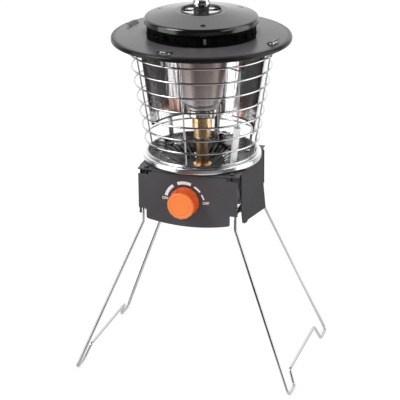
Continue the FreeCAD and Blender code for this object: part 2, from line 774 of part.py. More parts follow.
def guard_heights():
    heights = []
    for index in range(int(d.guard_rings.value)):
        low_steps = min(index, int(d.guard_rings_low.value))
        high_steps = index - low_steps
        heights.append(guard_low_height + d.guard_pitch_low * low_steps + d.guard_pitch * high_steps)
    return heights


def make_guard():
    """Welded wire guard: rings that widen upwards, with straight uprights inside them."""
    rings = [torus(guard_radius_at(height), wire, height) for height in guard_heights()]
    sub_part("guard_rings", group(*rings))
    tilt = Size(math.degrees(math.atan(d.guard_taper.value)), f"atan({d.guard_taper.text}) / 1 deg")
    bottom = guard_low_height - d.upright_tail
    inset = d.guard_wire - d.weld_bite
    low_radius = guard_radius_at(bottom) - inset
    rise = hood_under - d.hood_fall / 2 - d.seat_gap * 2 - bottom
    length = rise / cosine(tilt)
    uprights = []
    for index in range(int(d.guard_uprights.value)):
        angle = 360.0 * index / d.guard_uprights.value
        x, y = polar(low_radius, angle)
        tangent = Vector(-math.sin(math.radians(angle)), math.cos(math.radians(angle)), 0)
        uprights.append(cylinder(wire, length, x, y, bottom, tilt, tangent))
    sub_part("guard_uprights", group(*uprights))


# Hood, collar and cap


def make_hood():
    """Wide enamelled hood with a rolled edge and four louvres raised out of its sheet."""
    edge_radius = d.hood_radius - d.hood_edge
    edge_height = d.hood_top - d.hood_fall
    skirt_top = edge_height - d.hood_edge
    steel = d.hood_steel
    hood = turned([
        (d.hood_hole, hood_under),
        (d.hood_flat, hood_under),
        (edge_radius, edge_height - steel, d.hood_edge - steel, 1),
        (d.hood_radius - steel, skirt_top),
        *skirt_bead(d.hood_radius, d.hood_lip, d.hood_bead, steel),
        (d.hood_radius, skirt_top, d.hood_edge, -1),
        (edge_radius, edge_height),
        (d.hood_flat, d.hood_top),
        (d.hood_hole, d.hood_top),
    ])
    inner, outer = d.louvre_radius, d.louvre_radius + d.louvre_reach
    roofs = []
    slots = []
    for index in range(4):
        turn = d.louvre_turn - d.louvre_sweep / 2 + 90.0 * index
        roof = turned([
            (inner - 2.0, hood_surface_at(inner) - steel / 2),
            (inner, hood_surface_at(inner) - steel / 2),
            (inner + d.louvre_reach / 2, hood_surface_at(inner) + d.louvre_rise - steel),
            (outer, hood_surface_at(inner) + d.louvre_rise - steel),
            (outer, hood_surface_at(inner) + d.louvre_rise),
            (inner + d.louvre_reach / 2, hood_surface_at(inner) + d.louvre_rise),
        ], d.louvre_sweep)
        place(roof, turn=turn)
        roofs.append(roof)
        slot = turned([
            (inner + 0.6, hood_under - d.hood_fall - steel),
            (outer - 0.6, hood_under - d.hood_fall - steel),
            (outer - 0.6, d.hood_top + steel * 0.2),
            (inner + 0.6, d.hood_top + steel * 0.2),
        ], d.louvre_sweep - 2.0)
        place(slot, turn=turn + 1.0)
        slots.append(slot)
    sub_part("hood", fuse(cut(hood, *slots), *roofs))


def make_guard_hooks():
    """Wire hooks on the top guard ring that reach up into the louvres and hold the hood."""
    hooks = []
    radius = guard_radius_at(guard_top_height)
    top_radius = d.louvre_radius + d.louvre_reach * 0.62
    top_height = hood_surface_at(d.louvre_radius) + d.louvre_rise - d.hood_steel - d.seat_gap - wire
    bottom_radius = radius + wire * 2 - d.weld_bite
    for index in range(4):
        turn = d.louvre_turn.value + 90.0 * index
        corners = []
        for side, at_radius, height in ((-1, bottom_radius, guard_top_height), (-1, top_radius, top_height),
                                        (1, top_radius, top_height), (1, bottom_radius, guard_top_height)):
            spread = math.degrees(side * 4.6 / at_radius.value)
            angle = math.radians(turn + spread)
            corners.append(Vector(at_radius.value * math.cos(angle), at_radius.value * math.sin(angle),
                                  height.value))
        hooks.append(bent_rod(corners, wire.value * 2, wire.value))
    hook_group = doc.addObject("Part::Feature", "guard_hooks")
    hook_group.Shape = Part.makeCompound(hooks)
    hook_group.Placement = Placement()
    sub_part("guard_hooks", hook_group)


def bent_rod(points, bend, radius):
    """An open rod of round wire through points, with its inner corners rounded."""
    edges = []
    start = points[0]
    for index in range(1, len(points) - 1):
        corner = points[index]
        back = (points[index - 1] - corner).normalize()
        ahead = (points[index + 1] - corner).normalize()
        half_angle = back.getAngle(ahead) / 2
        reach = bend / math.tan(half_angle)
        bisector = (back + ahead).normalize()
        middle = corner + bisector * (bend / math.sin(half_angle) - bend)
        edges.append(Part.makeLine(start, corner + back * reach))
        edges.append(Part.Arc(corner + back * reach, middle, corner + ahead * reach).toShape())
        start = corner + ahead * reach
    edges.append(Part.makeLine(start, points[-1]))
    direction = (points[1] - points[0]).normalize()
    profile = Part.Wire(Part.makeCircle(radius, points[0], direction))
    solid = Part.Wire(edges).makePipeShell([profile], True, False)
    if solid.Volume < 0:
        solid.reverse()
    return solid


def make_vent_collar():
    """Black slotted collar that carries the hood and the cap posts, with gas holes in its flange."""
    wall_inner = d.collar_radius - d.hood_steel
    collar = turned([
        (d.collar_hole, flange_low),
        (d.collar_flange, flange_low),
        (d.collar_flange, hood_under),
        (d.collar_radius, hood_under),
        (d.collar_radius, hood_under + d.collar_tall),
        (wall_inner, hood_under + d.collar_tall),
        (wall_inner, hood_under),
        (d.collar_hole, hood_under),
    ])
    cutters = []
    for index in range(int(d.collar_slots.value)):
        angle = 360.0 * (index + 0.5) / d.collar_slots.value
        slot = box(d.hood_steel * 6, 8.0, d.collar_tall - 5.0)
        x, y = polar(wall_inner - d.hood_steel * 2, angle)
        side_x, side_y = polar(Size(4.0, "4"), angle - 90.0)
        place(slot, x + side_x, y + side_y, hood_under + 2.5, angle)
        cutters.append(slot)
    for index in range(12):
        angle = d.post_turn + 15.0 + 30.0 * index
        x, y = polar(d.post_radius + 1.0, angle)
        cutters.append(cylinder(3.6, d.hood_steel * 3, x, y, flange_low - d.hood_steel))
    sub_part("vent_collar", cut(collar, *cutters))


def make_baffle():
    """Black dish under the collar that keeps the flame side apart from the vent."""
    steel = d.hood_steel
    rim = d.collar_hole + 4.0
    low = flange_low - d.baffle_drop
    baffle = turned([
        (ZERO, low - steel),
        (d.collar_hole - 2.0, low - steel),
        (d.collar_hole, flange_low - steel),
        (rim, flange_low - steel),
        (rim, flange_low),
        (d.collar_hole - steel, flange_low),
        (d.collar_hole - 2.0 - steel, low),
        (ZERO, low),
    ])
    sub_part("heat_baffle", baffle)


def make_cap():
    """Domed enamelled cap: rolled centre opening, rolled skirt and three dimples."""
    steel = d.cap_steel
    edge_low = cap_shoulder_height - d.cap_edge
    cap = turned([
        (d.cap_flat, cap_under),
        (cap_shoulder, cap_shoulder_height - steel, d.cap_edge - steel, 1),
        (d.cap_radius - steel, edge_low),
        *skirt_bead(d.cap_radius, skirt_low, d.cap_bead, steel),
        (d.cap_radius, edge_low, d.cap_edge, -1),
        (cap_shoulder, cap_shoulder_height),
        (d.cap_flat, d.cap_top),
        *mouth_bead(d.cap_hole, d.cap_top, d.cap_bead, steel),
    ])
    cutters = []
    for index in range(3):
        x, y = polar(d.post_radius, d.post_turn + 120.0 * index)
        surface = cap_surface_at(d.post_radius)
        cutters.append(cylinder(d.dimple_radius, 5.0, x, y, surface - d.dimple_depth))
        hole = cylinder(d.rivet_shank + d.running_fit, d.rivet_long * 2, x, y, surface - d.rivet_long)
        cutters.append(hole)
    sub_part("cap", cut(cap, *cutters))


def make_cap_posts():
    """Three posts between the collar flange and the cap, and the rivets through them."""
    posts = []
    rivets = []
    surface = cap_surface_at(d.post_radius)
    slope_drop = d.post_thick * (d.cap_crown / (cap_shoulder - d.cap_flat))
    top = surface - d.cap_steel - slope_drop
    seat = surface - d.dimple_depth
    for index in range(3):
        x, y = polar(d.post_radius, d.post_turn + 120.0 * index)
        post = cylinder(d.post_thick, top - hood_under, x, y, hood_under)
        bore_low = top - d.rivet_long * 1.15
        bore = cylinder(d.rivet_shank + d.running_fit, d.rivet_long * 2, x, y, bore_low)
        posts.append(cut(post, bore))
        head = cylinder(d.rivet_head, 0.5, x, y, seat)
        shank = cylinder(d.rivet_shank, seat - top + d.rivet_long, x, y, top - d.rivet_long)
        rivets.append(fuse(head, shank))
    sub_part("cap_posts", group(*posts))
    sub_part("cap_rivets", group(*rivets))


def make_cap_grille():
    """Bright insert in the cap's opening: three split windows between wide spokes."""
    steel = d.cap_steel
    low = grille_top - steel
    hole = d.finial_stem + d.seat_gap
    rim = d.grille_radius - steel * 2
    plate = turned([
        (hole, low),
        (d.grille_radius, low),
        (d.grille_radius, cap_under),
        (rim, cap_under),
        (rim, grille_top),
        (hole, grille_top),
    ])
    windows = []
    for index in range(3):
        for half in (-1, 1):
            turn = d.post_turn + 120.0 * index - 15.0 + 17.0 * half
            window = turned(disc(d.grille_window, low - steel, grille_top + steel, d.grille_hub), 30.0)
            windows.append(place(window, turn=turn))
    sub_part("cap_grille", cut(plate, *windows))


def make_finial():
    """Bright finial over a black collar, on a stem through the insert with a nut below."""
    under = d.cap_top + d.finial_lift
    seat = grille_top
    low = grille_top - d.cap_steel
    collar = turned(disc(d.finial_collar, seat, under, d.finial_stem + d.running_fit))
    sub_part("finial_collar", collar)
    corner = d.finial_radius * 0.34
    finial = turned([
        (ZERO, seat - 6.0),
        (d.finial_stem, seat - 6.0),
        (d.finial_stem, under),
        (d.finial_radius - corner, under, corner, -1),
        (d.finial_radius, under + corner),
        (d.finial_radius, under + d.finial_tall * 0.5),
        (d.finial_radius * 0.86, under + d.finial_tall * 0.8),
        (d.finial_radius * 0.5, under + d.finial_tall * 0.96),
        (ZERO, under + d.finial_tall),
    ])
    sub_part("finial", finial)
    nut = doc.addObject("Part::Prism", "nut")
    nut.Polygon = 6
    bind(nut, Circumradius=d.finial_stem + 2.6, Height=2.6)
    place(nut, z=low - 2.6)
    hole = cylinder(d.finial_stem + d.running_fit, 6.0, 0, 0, low - 4.0)
    sub_part("finial_nut", cut(nut, hole))


# Burner


def make_burner():
    """Tapered burner head over a polished cup, closed by a top plate."""
    wall = d.burner_wall
    low_radius, top_radius = d.burner_low_radius, d.burner_top_radius
    bowl = d.burner_low_height - d.cup_top
    head = turned([
        (d.cup_radius - wall, d.cup_top),
        (d.cup_radius, d.cup_top, bowl * 1.15, 1),
        (low_radius, d.burner_low_height),
        (top_radius, d.burner_top_height),
        (top_radius - wall, d.burner_top_height),
        (low_radius - wall, d.burner_low_height),
        (d.cup_radius - wall, d.cup_top + wall * 2),
    ])
    sub_part("burner_head", head)
    lid = turned([
        (ZERO, d.burner_top_height),
        (top_radius + 1.0, d.burner_top_height),
        (top_radius + 1.0, d.burner_top_height + 1.2),
        (top_radius - 3.0, d.burner_top_height + 1.2),
        (ZERO, d.burner_top_height + 2.4),
    ])
    sub_part("burner_lid", lid)
    cup = turned([
        (d.tube_radius + d.running_fit, d.cup_bottom),
        (d.cup_radius - 2.4, d.cup_bottom),
        (d.cup_radius - 1.0, d.cup_bottom + 1.6),
        (d.cup_radius - 1.0, d.cup_top - 2.0),
        (d.cup_radius + 0.6, d.cup_top),
        (d.tube_radius + d.running_fit, d.cup_top),
    ])
    sub_part("burner_cup", cup)


def make_mixing_tube():
    """Brass mixing tube with its collars, the nut on the pan and the gas jet."""
    air_height = d.tube_bottom + 6.0
    top = d.cup_top - 1.0
    tube = turned(disc(d.tube_radius, d.tube_bottom, top, d.tube_radius - d.tube_wall))
    holes = []
    for angle in (0.0, 90.0):
        axis = Vector(math.cos(math.radians(angle)), math.sin(math.radians(angle)), 0)
        start_x, start_y = polar(-d.tube_radius * 1.4, angle - 90.0)
        holes.append(cylinder(d.air_hole, d.tube_radius * 2.8, start_x, start_y, air_height, -90, axis))
    sub_part("mixing_tube", cut(tube, *holes))
    bore = d.tube_radius + d.running_fit
    collar_low = d.cup_bottom - d.collar_nut_tall
    collar_edge = Size(1.0, "1")
    collar = turned([
        (bore, collar_low),
        (d.collar_nut_radius - collar_edge, collar_low),
        (d.collar_nut_radius, collar_low + collar_edge),
        (d.collar_nut_radius, d.cup_bottom - collar_edge),
        (d.collar_nut_radius - collar_edge, d.cup_bottom),
        (bore, d.cup_bottom),
    ])
    sub_part("tube_collar", collar)
    sleeve_low = collar_low - d.sleeve_tall
    sub_part("tube_sleeve", turned([
        (bore, sleeve_low),
        (d.sleeve_radius - 0.6, sleeve_low),
        (d.sleeve_radius, sleeve_low + 0.6),
        (d.sleeve_radius, collar_low),
        (bore, collar_low),
    ]))
    nut_low = d.plate_top - d.pan_depth + d.pan_steel
    sub_part("tube_nut", turned(disc(d.tube_radius + 3.4, nut_low, nut_low + 3.2, bore)))
    jet = turned([
        (Size(0.4, "0.4"), d.tube_bottom),
        (Size(3.4, "3.4"), d.tube_bottom),
        (Size(3.4, "3.4"), d.tube_bottom + 3.0),
        (Size(1.8, "1.8"), d.tube_bottom + 8.0),
        (Size(0.4, "0.4"), d.tube_bottom + 8.0),
    ])
    sub_part("gas_jet", jet)


def make_reflector():
    """Polished reflector: half a cone behind the burner, on three straps."""
    steel = d.reflector_steel
    reflector = turned([
        (d.reflector_low_radius - d.reflector_lip, d.reflector_low_height),
        (d.reflector_low_radius, d.reflector_low_height),
        (d.reflector_top_radius, d.reflector_top_height),
        (d.reflector_top_radius - steel, d.reflector_top_height),
        (d.reflector_low_radius - steel, d.reflector_low_height + steel),
        (d.reflector_low_radius - d.reflector_lip, d.reflector_low_height + steel),
    ], 180.0)
    sub_part("reflector", reflector)
    lean = (d.reflector_top_radius - d.reflector_low_radius) / (d.reflector_top_height - d.reflector_low_height)
    foot_radius = d.reflector_low_radius - (d.reflector_low_height - pan_top) * lean + d.running_fit
    top_height = d.reflector_low_height + d.strap_rise
    top_radius = d.reflector_low_radius + d.strap_rise * lean + d.running_fit
    straps = []
    for angle in (35.0, 90.0, 145.0):
        strap = turned([
            (foot_radius - 5.0, pan_top),
            (foot_radius + steel, pan_top),
            (top_radius + steel, top_height),
            (top_radius, top_height),
            (foot_radius + steel * lean, pan_top + steel),
            (foot_radius - 5.0, pan_top + steel),
        ], d.strap_sweep)
        straps.append(place(strap, turn=-d.strap_sweep / 2 + angle))
    sub_part("reflector_straps", group(*straps))


def make_spark():
    """Spark electrode on a leaning ceramic insulator, in a clamp on the rim of the pan."""
    turn, lean = d.spark_turn, d.spark_lean
    foot_height = pan_top + d.clamp_wall + d.insulator_radius * sine(lean)

    def leaning(radius, start, length):
        """A cylinder along the insulator's axis, from a distance above its foot."""
        item = cylinder(radius, length)
        along_x, along_y = polar(d.spark_foot + start * sine(lean), turn)
        place(item, along_x, along_y, foot_height + start * cosine(lean))
        tilt = Rotation(Vector(0, 1, 0), value_of(lean))
        item.Placement.Rotation = Rotation(Vector(0, 0, 1), value_of(turn)).multiply(tilt)
        return item

    neck_wide = d.electrode_radius + d.running_fit
    neck = leaning(neck_wide, d.insulator_tall - d.insulator_bore, d.insulator_bore + 1.0)
    sub_part("spark_insulator", cut(leaning(d.insulator_radius, ZERO, d.insulator_tall), neck))

    bore = d.insulator_radius + d.running_fit / 3
    sleeve = leaning(bore + d.clamp_wall, -d.clamp_wall * 3, d.clamp_tall + d.clamp_wall * 3)
    half = d.clamp_foot / 2
    plate = box(d.clamp_foot, d.clamp_foot, d.clamp_wall, -half, -half, pan_top)
    inner = d.spark_foot - half - 1.0
    plate_x, plate_y = polar(inner, turn)
    side_x, side_y = polar(half, turn - 90.0)
    place(plate, plate_x + side_x, plate_y + side_y, pan_top, turn)
    below = box(d.pan_radius * 4, d.pan_radius * 4, 10.0, -d.pan_radius * 2, -d.pan_radius * 2, pan_top - 10.0)
    seat = leaning(bore, ZERO, d.clamp_tall + 5.0)
    edge = cylinder(d.pan_radius * 2, 30.0, 0, 0, pan_top - 1.0)
    room = cylinder(d.ring_bore - d.seat_gap, 40.0, 0, 0, pan_top - 2.0)
    sub_part("igniter_clamp", cut(fuse(sleeve, plate), below, seat, cut(edge, room)))

    def at(radius, height):
        x, y = polar(radius, turn)
        return Vector(value_of(x), value_of(y), value_of(height))

    def on_axis(length):
        return at(d.spark_foot + length * sine(lean), foot_height + length * cosine(lean))

    radius = d.electrode_radius.value
    top = d.insulator_tall
    points = [on_axis(top - d.insulator_bore + d.running_fit), on_axis(top + 4.0),
              at(d.electrode_corner, d.electrode_top), at(d.electrode_tip, d.electrode_top - 0.8)]
    rod = bent_rod(points, radius * 2.5, radius)
    axis = (points[1] - points[0]).normalize()
    collar = Part.makeCylinder(d.electrode_collar.value, 2.6, on_axis(top), axis)
    electrode = doc.addObject("Part::Feature", "spark_electrode")
    electrode.Shape = rod.fuse(collar)
    electrode.Placement = Placement()
    sub_part("spark_electrode", electrode)


def make_sensor():
    """Flame sensor: a hooked rod beside the burner, on an arm clamped round the tube sleeve."""
    turn = d.sensor_turn
    steel = d.arm_steel
    low, high = d.arm_low, d.arm_height
    grip = d.sleeve_radius + d.running_fit / 3
    inner, knee, shelf = grip + steel / 2, d.sensor_place - 6.0, d.sensor_place + 6.0
    arm = padded([
        (inner, low),
        (knee, low),
        (shelf, high),
        (d.arm_end, high),
        (d.arm_end, high + steel),
        (shelf - steel / 2, high + steel),
        (knee - steel / 2, low + steel),
        (inner, low + steel),
    ], "XZ_Plane", -d.arm_wide / 2, d.arm_wide)
    place(arm, turn=turn)
    ring = turned(disc(grip + steel, low - 1.0, low + steel + 1.0, grip))
    x, y = polar(d.sensor_place, turn)
    hole = cylinder(d.sensor_radius + d.running_fit / 3, 30.0, x, y, low - 5.0)
    sub_part("sensor_arm", cut(fuse(ring, arm), hole))
    points = []
    for radius, height in ((d.sensor_place, d.sensor_foot), (d.sensor_place, d.sensor_top),
                           (d.sensor_place + d.sensor_hook, d.sensor_top),
                           (d.sensor_place + d.sensor_hook, d.sensor_top - 18.0)):
        x, y = polar(radius, turn)
        points.append(Vector(x.value, y.value, value_of(height)))
    sensor = doc.addObject("Part::Feature", "flame_sensor")
    sensor.Shape = bent_rod(points, d.sensor_hook.value * 0.45, d.sensor_radius.value)
    sensor.Placement = Placement()
    sub_part("flame_sensor", sensor)


# Gas valve and control


FRONTWARDS = Vector(1, 0, 0)


def along_front(radius, start, end, x, z):
    """A cylinder along -Y between two distances in front of the burner axis."""
    return cylinder(radius, end - start, x, -start, z, 90, FRONTWARDS)


def make_gas_block():
    """Brass gas block: valve barrel with its threaded neck, and the block over the socket."""
    x, z = d.knob_side, d.knob_height
    block_low = d.socket_mouth + d.socket_tall
    block_tall = d.tube_bottom - block_low
    block = cylinder(d.block_radius, block_tall, 0, 0, block_low)
    bridge_half = d.barrel_radius - 2.0
    bridge_end = -(d.barrel_back + 3.0)
    bridge = padded([
        (ZERO, block_low),
        (bridge_end, z + d.barrel_radius / 3),
        (bridge_end, z + d.barrel_radius * 0.9),
        (ZERO, block_low + block_tall - 1.0),
    ], "YZ_Plane", x - bridge_half, bridge_half * 2)
    barrel = along_front(d.barrel_radius, d.barrel_back, d.barrel_front, x, z)
    neck = along_front(d.neck_radius, d.barrel_front - 1.0, d.housing_half_depth + d.nut_thick, x, z)
    bore = along_front(d.spindle_radius + d.running_fit, d.spindle_back, d.housing_half_depth + 10.0, x, z)
    gas_way = cylinder(2.0, block_tall + 2.0, 0, 0, block_low - 1.0)
    sub_part("gas_block", cut(fuse(block, bridge, barrel, neck), bore, gas_way))


def make_gland_nut():
    nut = doc.addObject("Part::Prism", "gland")
    nut.Polygon = 6
    bind(nut, Circumradius=d.nut_across + 1.0, Height=d.nut_thick)
    place(nut, d.knob_side, -d.housing_half_depth, d.knob_height, 90, FRONTWARDS)
    hole = along_front(d.neck_radius, d.housing_half_depth - 2.0, d.housing_half_depth + 6.0,
                       d.knob_side, d.knob_height)
    sub_part("gland_nut", cut(nut, hole))


def make_spark_unit():
    """Black spark unit clamped round the valve barrel."""
    x, z = d.knob_side, d.knob_height
    start = d.barrel_back + 3.0
    deep = d.barrel_front - 4.0 - start
    half = d.barrel_radius + 3.0
    case = box(half * 2, deep, half * 2 + 2.0, x - half, -(start + deep), z - half)
    hole = along_front(d.barrel_radius, start - 1.0, d.barrel_front, x, z)
    bridge_room = box(d.barrel_radius * 2, 8.0, half * 2, x - d.barrel_radius, -(start + 4.0), z)
    sub_part("spark_unit", cut(case, hole, bridge_room))


def make_spindle():
    """Valve spindle that turns with the knob."""
    front = d.housing_half_depth + d.knob_gap + d.knob_bore_deep
    spindle = along_front(d.spindle_radius, d.spindle_back + d.seat_gap, front, d.knob_side, d.knob_height)
    sub_part("valve_spindle", spindle)


def knob_corners(radius):
    corners = []
    for index in range(int(d.knob_facets.value)):
        angle = 360.0 * (index + 0.5) / d.knob_facets.value
        x, z = polar(radius, angle)
        corners.append((d.knob_side + x, d.knob_height + z))
    return corners


def make_knob():
    """Orange faceted knob, narrower at its face, hollow over the gland nut."""
    body = new_body()
    base_offset = d.housing_half_depth + d.knob_gap
    stations = (
        (base_offset, d.knob_base_radius),
        (base_offset + d.knob_long - 1.4, d.knob_face_radius + 0.5),
        (base_offset + d.knob_long, d.knob_face_radius - 0.9),
    )
    for (low, low_radius), (high, high_radius) in zip(stations, stations[1:]):
        sketches = []
        for offset, radius in ((low, low_radius), (high, high_radius)):
            sketch = new_sketch(body, "XZ_Plane", offset)
            draw_outline(sketch, knob_corners(radius))
            sketches.append(sketch)
        loft = body.newObject("PartDesign::AdditiveLoft", "loft")
        loft.Profile = sketches[0]
        loft.Sections = [sketches[1]]
        loft.Ruled = True
    x, z = d.knob_side, d.knob_height
    cavity = along_front(d.knob_cavity, base_offset - 1.0, base_offset + d.knob_cavity_deep, x, z)
    bore = along_front(d.spindle_radius, base_offset, base_offset + d.knob_bore_deep, x, z)
    sub_part("knob", cut(body, cavity, bore))


def make_socket():
    """Threaded socket for the gas cylinder, with its probe, its seal and the strap that holds it."""
    low = d.socket_mouth
    high = low + d.socket_tall
    bore_top = low + d.socket_deep
    sub_part("cylinder_socket", turned([
        (d.socket_bore, low),
        (d.socket_flange, low),
        (d.socket_flange, low + 3.0),
        (d.socket_body, low + 3.0),
        (d.socket_body, high),
        (d.seal_radius, high),
        (d.seal_radius, bore_top),
        (d.socket_bore, bore_top),
    ]))
    tip = bore_top + d.seat_gap
    sub_part("socket_probe", turned(disc(d.probe_radius, tip, high, d.probe_hole)))
    sub_part("socket_seal", turned(disc(d.seal_radius, tip, high, d.seal_hole)))
    half_x, half_y, steel = d.strap_half_width, d.strap_half_depth, d.strap_steel
    plate = box(half_x * 2, half_y * 2, steel, -half_x, -half_y, low - steel)
    pieces = [plate]
    wall_tall = plate_low - low + steel
    for x in (-half_x, half_x - steel):
        pieces.append(box(steel, half_y * 2, wall_tall, x, -half_y, low - steel))
    mouth = cylinder(d.socket_bore + 2.4, steel * 3, 0, 0, low - steel * 2)
    sub_part("valve_strap", cut(fuse(*pieces), mouth))


def make_all():
    make_legs()
    make_leg_clips()
    make_panels()
    make_side_panels()
    make_top_plate()
    make_plate_screws()
    make_pan()
    make_base_ring()
    make_guard()
    make_hood()
    make_guard_hooks()
    make_vent_collar()
    make_baffle()
    make_cap()
    make_cap_posts()
    make_cap_grille()
    make_finial()
    make_burner()
    make_mixing_tube()
    make_reflector()
    make_spark()
    make_sensor()
    make_gas_block()
    make_gland_nut()
    make_spark_unit()
    make_spindle()
    make_knob()
    make_socket()


def check_and_write():
    """Stops on any object that failed, then writes one file for each sub-part."""
    doc.recompute()
    for item in doc.Objects:
        states = [str(state) for state in item.State]
        if "Invalid" in states or "Error" in states:
            raise RuntimeError(f"{item.Name} failed: {states}")
    os.makedirs("parts", exist_ok=True)
    for item in SUB_PARTS:
        if item.Shape.isNull() or not item.Shape.isValid():
            raise RuntimeError(f"{item.Label} has no valid shape")
        item.Shape.exportStep(os.path.join("parts", f"{item.Label}.step"))
        print(f"{item.Label}: {len(item.Shape.Solids)} solid(s)")


make_all()
check_and_write()
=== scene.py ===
import json
import math

import bmesh
import bpy
from mathutils import Matrix, Vector


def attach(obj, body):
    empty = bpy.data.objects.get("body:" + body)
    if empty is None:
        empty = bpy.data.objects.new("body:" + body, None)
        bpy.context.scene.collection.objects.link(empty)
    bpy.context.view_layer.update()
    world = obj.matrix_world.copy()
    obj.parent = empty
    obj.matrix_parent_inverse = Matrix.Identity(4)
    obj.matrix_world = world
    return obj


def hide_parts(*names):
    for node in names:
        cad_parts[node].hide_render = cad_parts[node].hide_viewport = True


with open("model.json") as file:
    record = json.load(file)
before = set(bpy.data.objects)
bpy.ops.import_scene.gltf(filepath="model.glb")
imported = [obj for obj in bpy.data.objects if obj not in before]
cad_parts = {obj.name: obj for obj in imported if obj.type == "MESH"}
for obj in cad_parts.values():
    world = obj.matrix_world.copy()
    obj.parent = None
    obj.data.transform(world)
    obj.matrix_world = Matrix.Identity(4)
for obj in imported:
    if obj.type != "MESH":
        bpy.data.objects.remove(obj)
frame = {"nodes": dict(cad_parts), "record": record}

scene = bpy.context.scene
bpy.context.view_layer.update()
nodes = frame["nodes"]


# Camera, solved from the photograph

AZIMUTH = math.radians(17.09)
ELEVATION = math.radians(20.85)
ROLL = math.radians(-0.44)
DISTANCE = 1.9518
TARGET = Vector((0.0, 0.0, 0.18808))
IMAGE_SIDE = 400
FOCAL_PIXELS = 1712.4
SENSOR = 36.0
CENTRE_OFFSET = 2.76

toward_camera = Vector((
    math.sin(AZIMUTH) * math.cos(ELEVATION),
    -math.cos(AZIMUTH) * math.cos(ELEVATION),
    math.sin(ELEVATION),
))
camera_right = Vector((math.cos(AZIMUTH), math.sin(AZIMUTH), 0.0))
camera_up = toward_camera.cross(camera_right)
rolled_right = camera_right * math.cos(ROLL) + camera_up * math.sin(ROLL)
rolled_up = camera_up * math.cos(ROLL) - camera_right * math.sin(ROLL)

camera_data = bpy.data.cameras.new("camera")
camera_data.sensor_width = SENSOR
camera_data.lens = FOCAL_PIXELS / IMAGE_SIDE * SENSOR
camera_data.shift_x = -CENTRE_OFFSET / IMAGE_SIDE
camera_data.clip_end = 20.0
camera = bpy.data.objects.new("camera", camera_data)
scene.collection.objects.link(camera)
camera.matrix_world = Matrix.Translation(TARGET + toward_camera * DISTANCE) @ Matrix((
    (rolled_right.x, rolled_up.x, toward_camera.x, 0.0),
    (rolled_right.y, rolled_up.y, toward_camera.y, 0.0),
    (rolled_right.z, rolled_up.z, toward_camera.z, 0.0),
    (0.0, 0.0, 0.0, 1.0),
))
scene.camera = camera


# Materials

class Graph:
    """A node tree, with short calls for the nodes that the materials, the floor and the world share."""

    def __init__(self, tree):
        self.tree = tree

    def node(self, kind, **settings):
        made = self.tree.nodes.new(kind)
        for key, value in settings.items():
            setattr(made, key, value)
        return made

    def link(self, source, target):
        self.tree.links.new(source, target)

    def set(self, socket, value):
        """Feeds a socket from another node, or gives it a plain value."""
        if isinstance(value, tuple):
            socket.default_value = (*value, 1.0) if len(value) == 3 and socket.type == "RGBA" else value
        elif isinstance(value, (int, float)):
            socket.default_value = value
        else:
            self.link(value, socket)

    def math(self, operation, first, second=None, clamp=False):
        made = self.node("ShaderNodeMath", operation=operation, use_clamp=clamp)
        self.set(made.inputs[0], first)
        if second is not None:
            self.set(made.inputs[1], second)
        return made.outputs[0]

    def dot(self, vector, direction):
        made = self.node("ShaderNodeVectorMath", operation="DOT_PRODUCT")
        self.link(vector, made.inputs[0])
        made.inputs[1].default_value = direction
        return made.outputs["Value"]

    def parts(self, vector):
        made = self.node("ShaderNodeSeparateXYZ")
        self.link(vector, made.inputs["Vector"])
        return made.outputs["X"], made.outputs["Y"], made.outputs["Z"]

    def fade(self, value, start, end, low=0.0, high=1.0):
        """Rises smoothly from low to high as the value goes from start to end."""
        made = self.node("ShaderNodeMapRange", interpolation_type="SMOOTHSTEP")
        self.set(made.inputs["Value"], value)
        made.inputs["From Min"].default_value = start
        made.inputs["From Max"].default_value = end
        made.inputs["To Min"].default_value = low
        made.inputs["To Max"].default_value = high
        return made.outputs["Result"]

    def ramp(self, factor, *stops):
        made = self.node("ShaderNodeValToRGB")
        band = made.color_ramp
        while len(band.elements) < len(stops):
            band.elements.new(1.0)
        for element, (position, color) in zip(band.elements, stops):
            element.position = position
            element.color = (*color, 1.0) if isinstance(color, tuple) else (color, color, color, 1.0)
        self.link(factor, made.inputs["Fac"])
        return made.outputs["Color"]

    def mix(self, factor, first, second, kind="RGBA"):
        made = self.node("ShaderNodeMix", data_type=kind)
        used = {item.name: item for item in made.inputs if item.enabled}
        self.set(used["Factor"], factor)
        self.set(used["A"], first)
        self.set(used["B"], second)
        return [item for item in made.outputs if item.enabled][0]


